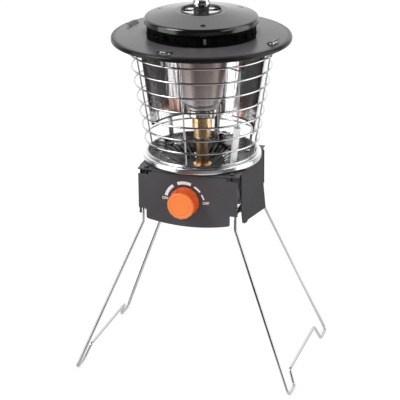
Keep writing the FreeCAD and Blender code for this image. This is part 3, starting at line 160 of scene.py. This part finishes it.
class Paint(Graph):
    """A procedural material on the Principled shader."""

    def __init__(self, name, color, metallic=0.0, roughness=0.5, **settings):
        self.material = bpy.data.materials.new(name)
        self.material.use_nodes = True
        super().__init__(self.material.node_tree)
        self.shader = self.tree.nodes["Principled BSDF"]
        self.shader.inputs["Base Color"].default_value = (*color, 1.0)
        self.shader.inputs["Metallic"].default_value = metallic
        self.shader.inputs["Roughness"].default_value = roughness
        for socket, value in settings.items():
            self.shader.inputs[socket.replace("_", " ")].default_value = value
        self.place = self.node("ShaderNodeTexCoord").outputs["Object"]

    def stretched(self, stretch):
        """Object coordinates scaled along each axis."""
        mapping = self.node("ShaderNodeMapping")
        mapping.inputs["Scale"].default_value = stretch
        self.link(self.place, mapping.inputs["Vector"])
        return mapping.outputs["Vector"]

    def turn(self):
        """The angle round the vertical axis."""
        x, y, _ = self.parts(self.place)
        return self.math("ARCTAN2", y, x)

    def around(self, tall=1.0, wide=1.0):
        """Coordinates that run round the vertical axis and up it, so that a grain can follow a turned part."""
        angle = self.turn()
        joined = self.node("ShaderNodeCombineXYZ")
        self.link(self.math("COSINE", angle), joined.inputs["X"])
        self.link(self.math("SINE", angle), joined.inputs["Y"])
        self.link(self.parts(self.place)[2], joined.inputs["Z"])
        mapping = self.node("ShaderNodeMapping")
        mapping.inputs["Scale"].default_value = (wide, wide, tall)
        self.link(joined.outputs["Vector"], mapping.inputs["Vector"])
        return mapping.outputs["Vector"]

    def noise(self, vector, scale, detail=4.0, rough=0.55):
        made = self.node("ShaderNodeTexNoise")
        made.inputs["Scale"].default_value = scale
        made.inputs["Detail"].default_value = detail
        made.inputs["Roughness"].default_value = rough
        self.link(vector, made.inputs["Vector"])
        return made.outputs["Fac"]

    def color(self, source):
        self.link(source, self.shader.inputs["Base Color"])

    def roughness(self, factor, low, high):
        made = self.node("ShaderNodeMapRange")
        made.inputs["To Min"].default_value = low
        made.inputs["To Max"].default_value = high
        self.link(factor, made.inputs["Value"])
        self.link(made.outputs["Result"], self.shader.inputs["Roughness"])

    def bump(self, height=None, strength=0.2, distance=0.0002, edge=0.0):
        """Surface relief, on top of softly rounded edges where edge is a radius in metres."""
        normal = None
        if edge:
            rounding = self.node("ShaderNodeBevel", samples=6)
            rounding.inputs["Radius"].default_value = edge
            normal = rounding.outputs["Normal"]
        if height is not None:
            relief = self.node("ShaderNodeBump")
            relief.inputs["Strength"].default_value = strength
            relief.inputs["Distance"].default_value = distance
            self.link(height, relief.inputs["Height"])
            if normal is not None:
                self.link(normal, relief.inputs["Normal"])
            normal = relief.outputs["Normal"]
        if normal is not None:
            self.link(normal, self.shader.inputs["Normal"])


def enamel(name, color, roughness, ior):
    """Gloss black enamel over steel: deep colour, slight orange peel, faint dust and handling marks."""
    paint = Paint(name, color, roughness=roughness, IOR=ior)
    broad = paint.noise(paint.place, 14.0, 3.0)
    fine = paint.noise(paint.place, 260.0, 2.0)
    paint.color(paint.ramp(broad, (0.3, tuple(c * 0.8 for c in color)), (0.7, tuple(c * 1.25 for c in color))))
    paint.roughness(broad, roughness * 0.8, roughness * 1.35)
    paint.bump(fine, 0.05, 0.0003, edge=0.0004)
    return paint.material


# A radius in metres times this is a place on a colour ramp, which runs from 0 to 1
RING_SCALE = 10.0


def painted_shade_ringed_enamel(name, rings, roughness, ior):
    """Black enamel in rings of (radius, level) round the axis, set to the tones that the photograph shows; the
    rings are painted shade and painted reflection, not a change of paint.
    """
    paint = Paint(name, (0.03, 0.029, 0.031), roughness=roughness, IOR=ior)
    broad = paint.noise(paint.place, 14.0, 3.0)
    fine = paint.noise(paint.place, 260.0, 2.0)
    flat = paint.node("ShaderNodeVectorMath", operation="MULTIPLY")
    paint.link(paint.place, flat.inputs[0])
    flat.inputs[1].default_value = (RING_SCALE, RING_SCALE, 0.0)
    reach = paint.node("ShaderNodeVectorMath", operation="LENGTH")
    paint.link(flat.outputs["Vector"], reach.inputs[0])
    stops = [(radius * RING_SCALE, (level, level * 0.96, level * 1.03)) for radius, level in rings]
    # The ring levels are painted shade and painted reflection on one black enamel.
    painted_light_tone = paint.ramp(reach.outputs["Value"], *stops)
    paint.color(paint.mix(paint.ramp(broad, (0.35, 0.0), (0.7, 0.14)), painted_light_tone, (0.008, 0.008, 0.008)))
    paint.roughness(broad, roughness * 0.8, roughness * 1.3)
    paint.bump(fine, 0.05, 0.0003, edge=0.0004)
    return paint.material


def flue_painted_shade_black(name):
    """Heat-proof black of the flue: sooty and nearly without gloss, made nearly black and nearly without
    reflection as painted shade for the dark gap under the cap.
    """
    paint = Paint(name, (0.0015, 0.0015, 0.0015), roughness=0.6, IOR=1.15)
    soot = paint.noise(paint.place, 180.0, 3.0)
    paint.color(paint.ramp(soot, (0.35, (0.0008, 0.0008, 0.0008)), (0.7, (0.003, 0.0027, 0.0025))))
    paint.roughness(soot, 0.5, 0.8)
    paint.bump(soot, 0.2, 0.0002, edge=0.0003)
    return paint.material


def satin_paint(name, color, roughness=0.42, ior=1.5):
    """Powder coat on sheet steel: an even dark grey with a fine stipple and rounded, slightly rubbed edges."""
    paint = Paint(name, color, roughness=roughness, IOR=ior)
    broad = paint.noise(paint.place, 22.0, 4.0)
    grain = paint.noise(paint.place, 2600.0, 2.0)
    paint.color(paint.ramp(broad, (0.3, tuple(c * 0.88 for c in color)), (0.7, tuple(c * 1.14 for c in color))))
    paint.roughness(broad, roughness - 0.05, roughness + 0.07)
    paint.bump(grain, 0.18, 0.00006, edge=0.0004)
    return paint.material


def chrome(name, color=(0.70, 0.70, 0.71), roughness=0.05):
    """Bright nickel-chrome plating on wire, with faint draw lines and dulled patches."""
    paint = Paint(name, color, metallic=1.0, roughness=roughness)
    broad = paint.noise(paint.place, 35.0, 3.0)
    fine = paint.noise(paint.place, 900.0, 2.0)
    paint.color(paint.ramp(broad, (0.25, tuple(c * 0.94 for c in color)), (0.75, color)))
    paint.roughness(broad, roughness * 0.7, roughness * 1.8)
    paint.bump(fine, 0.03, 0.00005, edge=0.0002)
    return paint.material


def plain_steel(name, color=(0.62, 0.61, 0.6), roughness=0.3):
    """Plain steel fittings: a fine grain, with slight darkening."""
    paint = Paint(name, color, metallic=1.0, roughness=roughness)
    broad = paint.noise(paint.place, 60.0, 4.0)
    fine = paint.noise(paint.stretched((1.0, 1.0, 6.0)), 700.0, 3.0)
    paint.color(paint.ramp(broad, (0.3, tuple(c * 0.78 for c in color)), (0.7, color)))
    paint.roughness(fine, roughness * 0.75, roughness * 1.4)
    paint.bump(fine, 0.06, 0.00005, edge=0.00025)
    return paint.material


def polished_steel(name, color=(0.8, 0.79, 0.79), roughness=0.09):
    """Polished stainless sheet with faint upright rolling lines."""
    paint = Paint(name, color, metallic=1.0, roughness=roughness)
    lines = paint.noise(paint.around(tall=1.5, wide=90.0), 2.0, 4.0)
    paint.color(paint.ramp(lines, (0.3, tuple(c * 0.9 for c in color)), (0.7, color)))
    paint.roughness(lines, roughness * 0.6, roughness * 1.7)
    paint.bump(lines, 0.05, 0.0001, edge=0.0002)
    return paint.material


# Copper tints on the reflector: angle round the axis in degrees, height, half width in degrees, half height
COPPER_PATCHES = [(143, 0.285, 17, 0.009), (132, 0.276, 12, 0.006), (59, 0.280, 8, 0.010), (64, 0.333, 7, 0.009)]


def reflector_steel(name):
    """Polished reflector sheet: upright rolling lines, soft waves and copper-coloured patches beside the burner.
    """
    paint = Paint(name, (0.86, 0.85, 0.85), metallic=1.0, roughness=0.08)
    lines = paint.noise(paint.around(tall=1.2, wide=60.0), 2.2, 4.0)
    bands = paint.noise(paint.around(tall=2.0, wide=3.2), 1.6, 2.0)
    ragged = paint.noise(paint.around(tall=30.0, wide=3.0), 1.7, 4.0)
    turn = paint.turn()
    height = paint.parts(paint.place)[2]
    tint = 0.0
    for degrees, level, wide, tall in COPPER_PATCHES:
        across = paint.math("DIVIDE", paint.math("SUBTRACT", turn, math.radians(degrees)), math.radians(wide))
        up = paint.math("DIVIDE", paint.math("SUBTRACT", height, level), tall)
        reach = paint.math("ADD", paint.math("MULTIPLY", across, across), paint.math("MULTIPLY", up, up))
        reach = paint.math("ADD", reach, paint.math("MULTIPLY", paint.math("SUBTRACT", ragged, 0.5), 2.4))
        tint = paint.math("MAXIMUM", paint.fade(reach, 1.0, 0.35), tint)
    steel = paint.ramp(bands, (0.32, (0.66, 0.64, 0.64)), (0.5, (0.86, 0.85, 0.85)), (0.68, (0.93, 0.92, 0.92)))
    paint.color(paint.mix(tint, steel, (0.60, 0.39, 0.33)))
    paint.roughness(lines, 0.08, 0.22)
    waves = paint.noise(paint.around(tall=6.0, wide=4.0), 1.6, 2.0)
    paint.bump(waves, 0.3, 0.0025, edge=0.0002)
    return paint.material


def burner_steel(name):
    """Burner sheet: mauve-grey with fine upright streaks, paler towards the bottom and darker and browner towards
    the top.
    """
    paint = Paint(name, (0.36, 0.32, 0.31), metallic=1.0, roughness=0.34)
    streaks = paint.noise(paint.around(tall=2.0, wide=42.0), 2.4, 5.0, 0.65)
    broad = paint.noise(paint.around(tall=9.0, wide=3.0), 1.5, 3.0)
    rise = paint.fade(paint.parts(paint.place)[2], 0.300, 0.370)
    steel = paint.ramp(rise, (0.0, (0.98, 0.94, 0.93)), (0.14, (0.66, 0.58, 0.57)),
                       (0.5, (0.50, 0.42, 0.41)), (1.0, (0.38, 0.31, 0.30)))
    dark = paint.mix(paint.ramp(streaks, (0.35, 0.5), (0.62, 0.0)), steel, (0.2, 0.16, 0.155))
    paint.color(paint.mix(paint.ramp(broad, (0.4, 0.0), (0.75, 0.45)), dark, (0.42, 0.33, 0.3)))
    paint.roughness(streaks, 0.34, 0.52)
    paint.bump(streaks, 0.2, 0.0003, edge=0.0002)
    return paint.material


def brass(name, color=(0.92, 0.64, 0.36), roughness=0.15):
    """Turned brass: fine rings from the lathe and a darker tarnish in patches."""
    paint = Paint(name, color, metallic=1.0, roughness=roughness)
    rings = paint.noise(paint.stretched((0.3, 0.3, 26.0)), 90.0, 2.0)
    broad = paint.noise(paint.place, 70.0, 4.0)
    paint.color(paint.ramp(broad, (0.3, (color[0] * 0.72, color[1] * 0.6, color[2] * 0.5)), (0.68, color)))
    paint.roughness(rings, roughness * 0.8, roughness * 2.2)
    paint.bump(rings, 0.12, 0.00008, edge=0.0003)
    return paint.material


def ceramic(name):
    """Glazed white ceramic with a trace of warm soot."""
    paint = Paint(name, (0.86, 0.84, 0.8), roughness=0.22, IOR=1.5)
    paint.shader.inputs["Coat Weight"].default_value = 0.4
    broad = paint.noise(paint.stretched((1.0, 1.0, 0.4)), 90.0, 4.0)
    paint.color(paint.ramp(broad, (0.3, (0.86, 0.84, 0.81)), (0.55, (0.97, 0.965, 0.95))))
    paint.roughness(broad, 0.16, 0.32)
    paint.bump(broad, 0.05, 0.0002, edge=0.0003)
    return paint.material


def moulded(name, color, roughness):
    """Moulded plastic: an even colour with a fine spark-eroded grain and softened edges."""
    paint = Paint(name, color, roughness=roughness, IOR=1.49)
    broad = paint.noise(paint.place, 40.0, 3.0)
    grain = paint.noise(paint.place, 1500.0, 2.0)
    pale = tuple(min(1.0, c * 1.06) for c in color)
    paint.color(paint.ramp(broad, (0.3, tuple(c * 0.9 for c in color)), (0.7, pale)))
    paint.roughness(broad, roughness * 0.85, roughness * 1.2)
    paint.bump(grain, 0.06, 0.00006, edge=0.0003)
    return paint.material


KNOB_SIDE, KNOB_HEIGHT = -0.0026, 0.208
KNOB_BASE = -0.0583
KNOB_LONG = 0.0185
KNOB_FACETS = 14


def knob_plastic_painted_highlight(name):
    """Orange moulding: a deep red-orange grip and a paler face, set to the tones that the photograph shows; the
    paler face is a painted highlight on the same moulding.
    """
    paint = Paint(name, (0.9, 0.17, 0.025), roughness=0.26, IOR=1.38)
    broad = paint.noise(paint.place, 60.0, 3.0)
    grain = paint.noise(paint.place, 1500.0, 2.0)
    # Painted highlight: the face is made paler than the grip.
    face = paint.fade(paint.parts(paint.place)[1], KNOB_BASE - KNOB_LONG + 0.0022, KNOB_BASE - KNOB_LONG + 0.0008)
    painted_light_tone = paint.mix(face, (0.93, 0.095, 0.01), (1.0, 0.255, 0.06))
    paint.color(paint.mix(paint.ramp(broad, (0.35, 0.0), (0.7, 0.22)), painted_light_tone, (1.0, 0.30, 0.09)))
    paint.roughness(broad, 0.2, 0.34)
    paint.bump(grain, 0.06, 0.00006, edge=0.0003)
    return paint.material


def rubber(name):
    paint = Paint(name, (0.03, 0.03, 0.03), roughness=0.75)
    grain = paint.noise(paint.place, 900.0, 3.0)
    paint.roughness(grain, 0.65, 0.85)
    paint.bump(grain, 0.2, 0.0001)
    return paint.material


def dark_pan(name):
    """Glossy dark enamel of the pan, with fine ribs that run outwards and a film of grease."""
    paint = Paint(name, (0.010, 0.009, 0.009), roughness=0.1, IOR=1.5)
    film = paint.noise(paint.place, 45.0, 3.0)
    ribs = paint.math("SINE", paint.math("MULTIPLY", paint.turn(), 44.0))
    paint.color(paint.ramp(film, (0.35, (0.006, 0.005, 0.005)), (0.7, (0.02, 0.016, 0.015))))
    paint.roughness(film, 0.05, 0.2)
    paint.bump(ribs, 0.25, 0.0006, edge=0.0003)
    return paint.material


def print_ink(name, color):
    """Screen-printed ink: nearly white, slightly uneven."""
    paint = Paint(name, color, roughness=0.45)
    broad = paint.noise(paint.place, 800.0, 3.0)
    paint.color(paint.ramp(broad, (0.3, tuple(c * 0.9 for c in color)), (0.6, color)))
    paint.bump(broad, 0.05, 0.00004)
    return paint.material


MATERIALS = {
    "black_enamel": enamel("black_enamel", (0.02, 0.019, 0.021), 0.14, 1.72),
    "dark_enamel": dark_pan("dark_enamel"),
    "black_paint": satin_paint("black_paint", (0.072, 0.069, 0.077)),
    "matte_black": satin_paint("matte_black", (0.003, 0.003, 0.003), 0.7),
    "chrome": chrome("chrome"),
    "polished_steel": polished_steel("polished_steel"),
    "plain_steel": plain_steel("plain_steel"),
    "burner_steel": burner_steel("burner_steel"),
    "brass": brass("brass"),
    "seal_rubber": rubber("seal_rubber"),
    "ceramic": ceramic("ceramic"),
    "orange_plastic": knob_plastic_painted_highlight("orange_plastic"),
    "black_plastic": moulded("black_plastic", (0.03, 0.03, 0.03), 0.5),
}
# Painted rings of (radius, level): the hood has painted shade at the flue and on its rim and a painted reflection
# as the lighter band between; the cap has painted shade on its rim.
HOOD_PAINTED_SHADE_AND_REFLECTION_RINGS = [(0.063, 0.004), (0.0665, 0.088), (0.0935, 0.088), (0.0965, 0.008)]
CAP_PAINTED_SHADE_RINGS = [(0.0, 0.026), (0.0585, 0.024), (0.0608, 0.002)]
TUBE_BRASS = (0.97, 0.70, 0.42)
# Painted shade: the side panels carry the front panel's paint, made darker and rougher here.
SIDE_PAINTED_SHADE_BLACK = (0.030, 0.029, 0.033)
OWN_MATERIALS = {
    "reflector": reflector_steel("reflector_steel"),
    "hood": painted_shade_ringed_enamel("hood_enamel_painted_shade_and_reflection", HOOD_PAINTED_SHADE_AND_REFLECTION_RINGS, 0.2, 1.34),
    "cap": painted_shade_ringed_enamel("cap_enamel_painted_shade", CAP_PAINTED_SHADE_RINGS, 0.14, 1.72),
    "base_ring": chrome("ring_plate", (0.86, 0.86, 0.87), 0.16),
    "mixing_tube": brass("tube_brass", TUBE_BRASS, 0.26),
    "tube_sleeve": brass("sleeve_brass", TUBE_BRASS, 0.26),
    "tube_collar": brass("collar_brass", TUBE_BRASS, 0.13),
    "plate_screws": plain_steel("dark_screws", (0.10, 0.10, 0.105), 0.35),
    # Painted shade: the flue parts are nearly black with almost no reflection, so the gap under the cap reads
    # dark.
    "vent_collar": flue_painted_shade_black("flue_painted_shade_black"),
    "heat_baffle": flue_painted_shade_black("flue_black_inside"),
    "side_panel_left": satin_paint("side_paint_left_painted_shade", SIDE_PAINTED_SHADE_BLACK, 0.6, 1.36),
    "side_panel_right": satin_paint("side_paint_right_painted_shade", SIDE_PAINTED_SHADE_BLACK, 0.6, 1.36),
}
INK = print_ink("white_ink", (0.96, 0.96, 0.97))

slot_of = {row["node"]: row["material_slot"] for row in frame["record"]["subparts"]}
for name, item in nodes.items():
    item.data.materials.clear()
    item.data.materials.append(OWN_MATERIALS.get(name) or MATERIALS[slot_of[name]])


# Mesh helpers

def new_piece(name, mesh_or_bmesh, body, material):
    """Makes an object of the mesh, in its material, that rides with a body."""
    if isinstance(mesh_or_bmesh, bmesh.types.BMesh):
        mesh = bpy.data.meshes.new(name)
        mesh_or_bmesh.to_mesh(mesh)
        mesh_or_bmesh.free()
    else:
        mesh = mesh_or_bmesh
    mesh.materials.clear()
    mesh.materials.append(material)
    item = bpy.data.objects.new(name, mesh)
    scene.collection.objects.link(item)
    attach(item, body)
    return item


# Control knob

def knob_rows(made, stations):
    """Rings of knob corners, one for each (depth, radius)."""
    rows = []
    for depth, radius in stations:
        row = []
        for index in range(KNOB_FACETS):
            angle = 2 * math.pi * (index + 0.5) / KNOB_FACETS
            row.append(made.verts.new((radius * math.cos(angle), -depth, radius * math.sin(angle))))
        rows.append(row)
    return rows


def join_rows(made, rows, inward=False):
    """Walls between each ring and the next, turned the other way round inside the knob."""
    for low, high in zip(rows, rows[1:]):
        for index in range(KNOB_FACETS):
            after = (index + 1) % KNOB_FACETS
            corners = (low[index], high[index], high[after], low[after])
            made.faces.new((corners[0], corners[3], corners[2], corners[1]) if inward else corners)


def make_knob():
    """Orange knob: tapered facets with soft corners, a stepped skirt, and a face with a groove round it."""
    made = bmesh.new()
    outer_rows = knob_rows(made, [
        (0.0000, 0.0165),
        (0.0012, 0.0170),
        (0.0024, 0.0170),
        (KNOB_LONG - 0.0018, 0.0155),
        (KNOB_LONG - 0.0006, 0.0149),
        (KNOB_LONG, 0.0138),
    ])
    join_rows(made, outer_rows)
    face_rows = [outer_rows[-1]] + knob_rows(made, [
        (KNOB_LONG, 0.0126),
        (KNOB_LONG - 0.0007, 0.0120),
        (KNOB_LONG - 0.0007, 0.0113),
        (KNOB_LONG - 0.0002, 0.0107),
        (KNOB_LONG - 0.0004, 0.0070),
        (KNOB_LONG - 0.0005, 0.0030),
    ])
    join_rows(made, face_rows)
    made.faces.new(reversed(face_rows[-1]))
    inner_rows = [outer_rows[0]] + knob_rows(made, [(0.0, 0.0106), (0.0050, 0.0104), (0.0050, 0.0034)])
    join_rows(made, inner_rows, inward=True)
    made.faces.new(inner_rows[-1])
    bmesh.ops.recalc_face_normals(made, faces=made.faces[:])
    made.transform(Matrix.Translation((KNOB_SIDE, KNOB_BASE, KNOB_HEIGHT)))
    knob = new_piece("knob_moulding", made, "control", MATERIALS["orange_plastic"])
    bevel = knob.modifiers.new("soft_corners", "BEVEL")
    bevel.width = 0.0009
    bevel.segments = 3
    bevel.limit_method = "ANGLE"
    bevel.angle_limit = math.radians(14)
    bevel.harden_normals = False
    knob.data.shade_smooth()
    knob.data.set_sharp_from_angle(angle=math.radians(50))
    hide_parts("knob")


make_knob()


# Print round the knob

PANEL_FACE = -0.0573
INK_THICK = 0.00004


def ring_segment(start, end, inner_start, outer_start, inner_end, outer_end, steps=14):
    """A flat printed arc on the panel, whose width may change along it."""
    made = bmesh.new()
    front, back = [], []
    for step in range(steps + 1):
        share = step / steps
        angle = math.radians(start + (end - start) * share)
        inner = inner_start + (inner_end - inner_start) * share
        outer = outer_start + (outer_end - outer_start) * share
        for radius in (inner, outer):
            x = KNOB_SIDE + radius * math.cos(angle)
            z = KNOB_HEIGHT + radius * math.sin(angle)
            front.append(made.verts.new((x, PANEL_FACE - INK_THICK, z)))
            back.append(made.verts.new((x, PANEL_FACE, z)))
    for step in range(steps):
        a, b, c, e = step * 2, step * 2 + 1, step * 2 + 3, step * 2 + 2
        made.faces.new((front[a], front[b], front[c], front[e]))
        made.faces.new((back[a], back[e], back[c], back[b]))
        made.faces.new((front[a], front[e], back[e], back[a]))
        made.faces.new((front[b], back[b], back[c], front[c]))
    last = steps * 2
    made.faces.new((front[0], back[0], back[1], front[1]))
    made.faces.new((front[last], front[last + 1], back[last + 1], back[last]))
    bmesh.ops.recalc_face_normals(made, faces=made.faces[:])
    return made


def make_dial():
    """The four printed arcs over the knob."""
    arcs = [
        (169, 130, 0.0208, 0.0243, 0.0198, 0.0233),
        (115, 71, 0.0193, 0.0229, 0.0186, 0.0221),
        (59, 34, 0.0188, 0.0210, 0.0195, 0.0216),
        (25, 8, 0.0198, 0.0215, 0.0208, 0.0223),
    ]
    for index, arc in enumerate(arcs):
        new_piece(f"dial_arc_{index + 1}", ring_segment(*arc), "heater", INK)


def printed_word(name, words, x, z, tall, squeeze=1.0):
    """A word printed on the front panel, placed by its middle."""
    curve = bpy.data.curves.new(name, "FONT")
    curve.body = words
    curve.size = tall / 0.70
    curve.extrude = INK_THICK / 2
    curve.offset = tall * 0.025
    curve.align_x = "CENTER"
    curve.align_y = "CENTER"
    carrier = bpy.data.objects.new(name, curve)
    scene.collection.objects.link(carrier)
    bpy.context.view_layer.update()
    mesh = bpy.data.meshes.new_from_object(carrier.evaluated_get(bpy.context.evaluated_depsgraph_get()))
    bpy.data.objects.remove(carrier)
    turn = Matrix.Rotation(math.radians(90), 4, "X")
    stretch = Matrix.Diagonal((squeeze, 1.0, 1.0, 1.0))
    mesh.transform(Matrix.Translation((x, PANEL_FACE - INK_THICK / 2, z)) @ turn @ stretch)
    mesh.name = name
    new_piece(name, mesh, "heater", INK)


# Stage: a white floor and lamps, with surroundings of their own for reflections

FRONT = (math.sin(AZIMUTH), -math.cos(AZIMUTH), 0.0)
RIGHT = (math.cos(AZIMUTH), math.sin(AZIMUTH), 0.0)

# What reflections meet round the heater: (angle, level), in degrees from the direction of the photograph's camera.
# Only glossy rays find these levels, which were fitted to the photograph's view and aren't what the camera sees.
SKY_LEVELS = [
    (-180, 1.15), (-144, 1.15), (-130, 0.8), (-118, 0.6), (-113, 0.2), (-98, 0.1),
    (-93, 2.0), (-57, 2.0), (-51, 0.04), (68, 0.04), (74, 1.9), (106, 1.9),
    (111, 0.15), (120, 0.25), (127, 0.7), (138, 0.8), (148, 1.15), (180, 1.15),
]
NEAR_FLOOR = [(-180, 0.75), (-168, 0.75), (-156, 0.02), (-26, 0.02), (-10, 0.75), (150, 0.75), (180, 0.75)]
FAR_FLOOR = [
    (-180, 0.95), (-140, 0.9), (-124, 0.45), (-98, 0.22), (-92, 1.8), (-54, 1.8),
    (-48, 0.05), (-14, 0.08), (8, 0.2), (30, 0.2), (46, 0.06), (62, 0.06),
    (68, 1.8), (106, 1.8), (112, 0.35), (135, 0.8), (180, 0.95),
]
OVERHEAD = 0.1
# Painted shadow: glossy rays find the floor under the heater dimmer.
UNDER_HEATER_PAINTED_SHADOW = 0.8
BRIGHTEST = 2.2
FLOOR_RADIUS = 2.2
FLOOR_GLOW_SHARE = 0.62
FLOOR_MIRROR_SHARE = 0.95
PLAIN_LIGHT = 0.62


def angle_stops(rows):
    """Stops of a colour ramp that goes once round the heater."""
    return [((angle + 180) / 360, level / BRIGHTEST) for angle, level in rows]


def angle_share(graph, vector):
    """The direction round the heater, from 0 to 1, with the photograph's camera at 0.5."""
    turn = graph.math("ARCTAN2", graph.dot(vector, RIGHT), graph.dot(vector, FRONT))
    return graph.math("ADD", graph.math("DIVIDE", turn, math.tau), 0.5)


def floor_material():
    """White floor that keeps a soft shadow. Glossy rays find the levels of NEAR_FLOOR and FAR_FLOOR instead."""
    material = bpy.data.materials.new("floor")
    material.use_nodes = True
    graph = Graph(material.node_tree)
    graph.tree.nodes.clear()
    output = graph.node("ShaderNodeOutputMaterial")
    place = graph.node("ShaderNodeTexCoord").outputs["Object"]
    reach = graph.node("ShaderNodeVectorMath", operation="LENGTH")
    graph.link(place, reach.inputs[0])
    share_round = angle_share(graph, place)
    near = graph.ramp(share_round, *angle_stops(NEAR_FLOOR))
    far = graph.ramp(share_round, *angle_stops(FAR_FLOOR))
    near = graph.mix(graph.fade(reach.outputs["Value"], 0.1, 0.25), (UNDER_HEATER_PAINTED_SHADOW / BRIGHTEST,) * 3, near)
    found = graph.mix(graph.fade(reach.outputs["Value"], 0.42, 0.56), near, far)
    found = graph.math("MULTIPLY", found, BRIGHTEST)

    rays = graph.node("ShaderNodeLightPath")
    mirrored = rays.outputs["Is Glossy Ray"]
    seen = graph.math("MAXIMUM", rays.outputs["Is Camera Ray"], mirrored)
    matte = graph.node("ShaderNodeBsdfDiffuse")
    matte.inputs["Color"].default_value = (0.9, 0.9, 0.9, 1.0)
    glow = graph.node("ShaderNodeEmission")
    white = graph.fade(reach.outputs["Value"], 0.3, 1.4, 1.15, 1.28)
    graph.set(glow.inputs["Strength"], graph.mix(mirrored, white, found, "FLOAT"))
    share = graph.math("MULTIPLY", seen, graph.mix(mirrored, FLOOR_GLOW_SHARE, FLOOR_MIRROR_SHARE, "FLOAT"))
    blend = graph.node("ShaderNodeMixShader")
    graph.link(share, blend.inputs["Fac"])
    graph.link(matte.outputs[0], blend.inputs[1])
    graph.link(glow.outputs[0], blend.inputs[2])
    graph.link(blend.outputs[0], output.inputs["Surface"])
    return material


def make_floor():
    made = bmesh.new()
    bmesh.ops.create_circle(made, cap_ends=True, segments=96, radius=FLOOR_RADIUS)
    mesh = bpy.data.meshes.new("floor")
    made.to_mesh(mesh)
    made.free()
    mesh.materials.append(floor_material())
    floor = bpy.data.objects.new("floor", mesh)
    scene.collection.objects.link(floor)


def make_world():
    """White surroundings for the camera. Glossy rays find the levels of SKY_LEVELS and OVERHEAD instead."""
    world = bpy.data.worlds.new("studio")
    scene.world = world
    world.use_nodes = True
    graph = Graph(world.node_tree)
    graph.tree.nodes.clear()
    output = graph.node("ShaderNodeOutputWorld")
    place = graph.node("ShaderNodeTexCoord").outputs["Generated"]
    round_about = graph.ramp(angle_share(graph, place), *angle_stops(SKY_LEVELS))
    overhead = graph.fade(graph.parts(place)[2], 0.74, 0.92)
    sky = graph.mix(overhead, round_about, (OVERHEAD / BRIGHTEST,) * 3)

    rays = graph.node("ShaderNodeLightPath")
    mirrored = rays.outputs["Is Glossy Ray"]
    seen = graph.math("MAXIMUM", rays.outputs["Is Camera Ray"], rays.outputs["Is Transmission Ray"])
    unseen = graph.math("SUBTRACT", 1.0, graph.math("MAXIMUM", seen, mirrored))
    plain = graph.math("MULTIPLY", unseen, PLAIN_LIGHT)
    glossy = graph.math("MULTIPLY", graph.math("MULTIPLY", mirrored, sky), BRIGHTEST)
    background = graph.node("ShaderNodeBackground")
    background.inputs["Color"].default_value = (1.0, 1.0, 1.0, 1.0)
    graph.link(graph.math("ADD", graph.math("MAXIMUM", seen, glossy), plain), background.inputs["Strength"])
    graph.link(background.outputs[0], output.inputs["Surface"])


def make_lamp(name, place, target, size, power):
    """A rectangular lamp that faces its target."""
    data = bpy.data.lights.new(name, "AREA")
    data.shape = "RECTANGLE"
    data.size, data.size_y = size
    data.energy = power
    lamp = bpy.data.objects.new(name, data)
    scene.collection.objects.link(lamp)
    away = (Vector(place) - Vector(target)).normalized()
    lamp.matrix_world = Matrix.Translation(place) @ away.to_track_quat("Z", "Y").to_matrix().to_4x4()
    return lamp


make_dial()
printed_word("word_on", "ON", -0.0259, 0.2090, 0.0033, 0.95)
printed_word("word_off", "OFF", 0.0212, 0.2070, 0.0031, 0.95)
make_floor()
make_world()
make_lamp("key", (-0.9, -0.9, 1.3), (0.0, 0.0, 0.25), (0.7, 0.7), 10.5)
make_lamp("fill", (1.3, -0.5, 0.7), (0.0, 0.0, 0.25), (0.6, 0.9), 2.6)
top_lamp = make_lamp("top", (0.0, 0.4, 1.6), (0.0, 0.0, 0.3), (1.0, 1.0), 7.0)
top_lamp.visible_glossy = False
scene.view_settings.view_transform = "Standard"
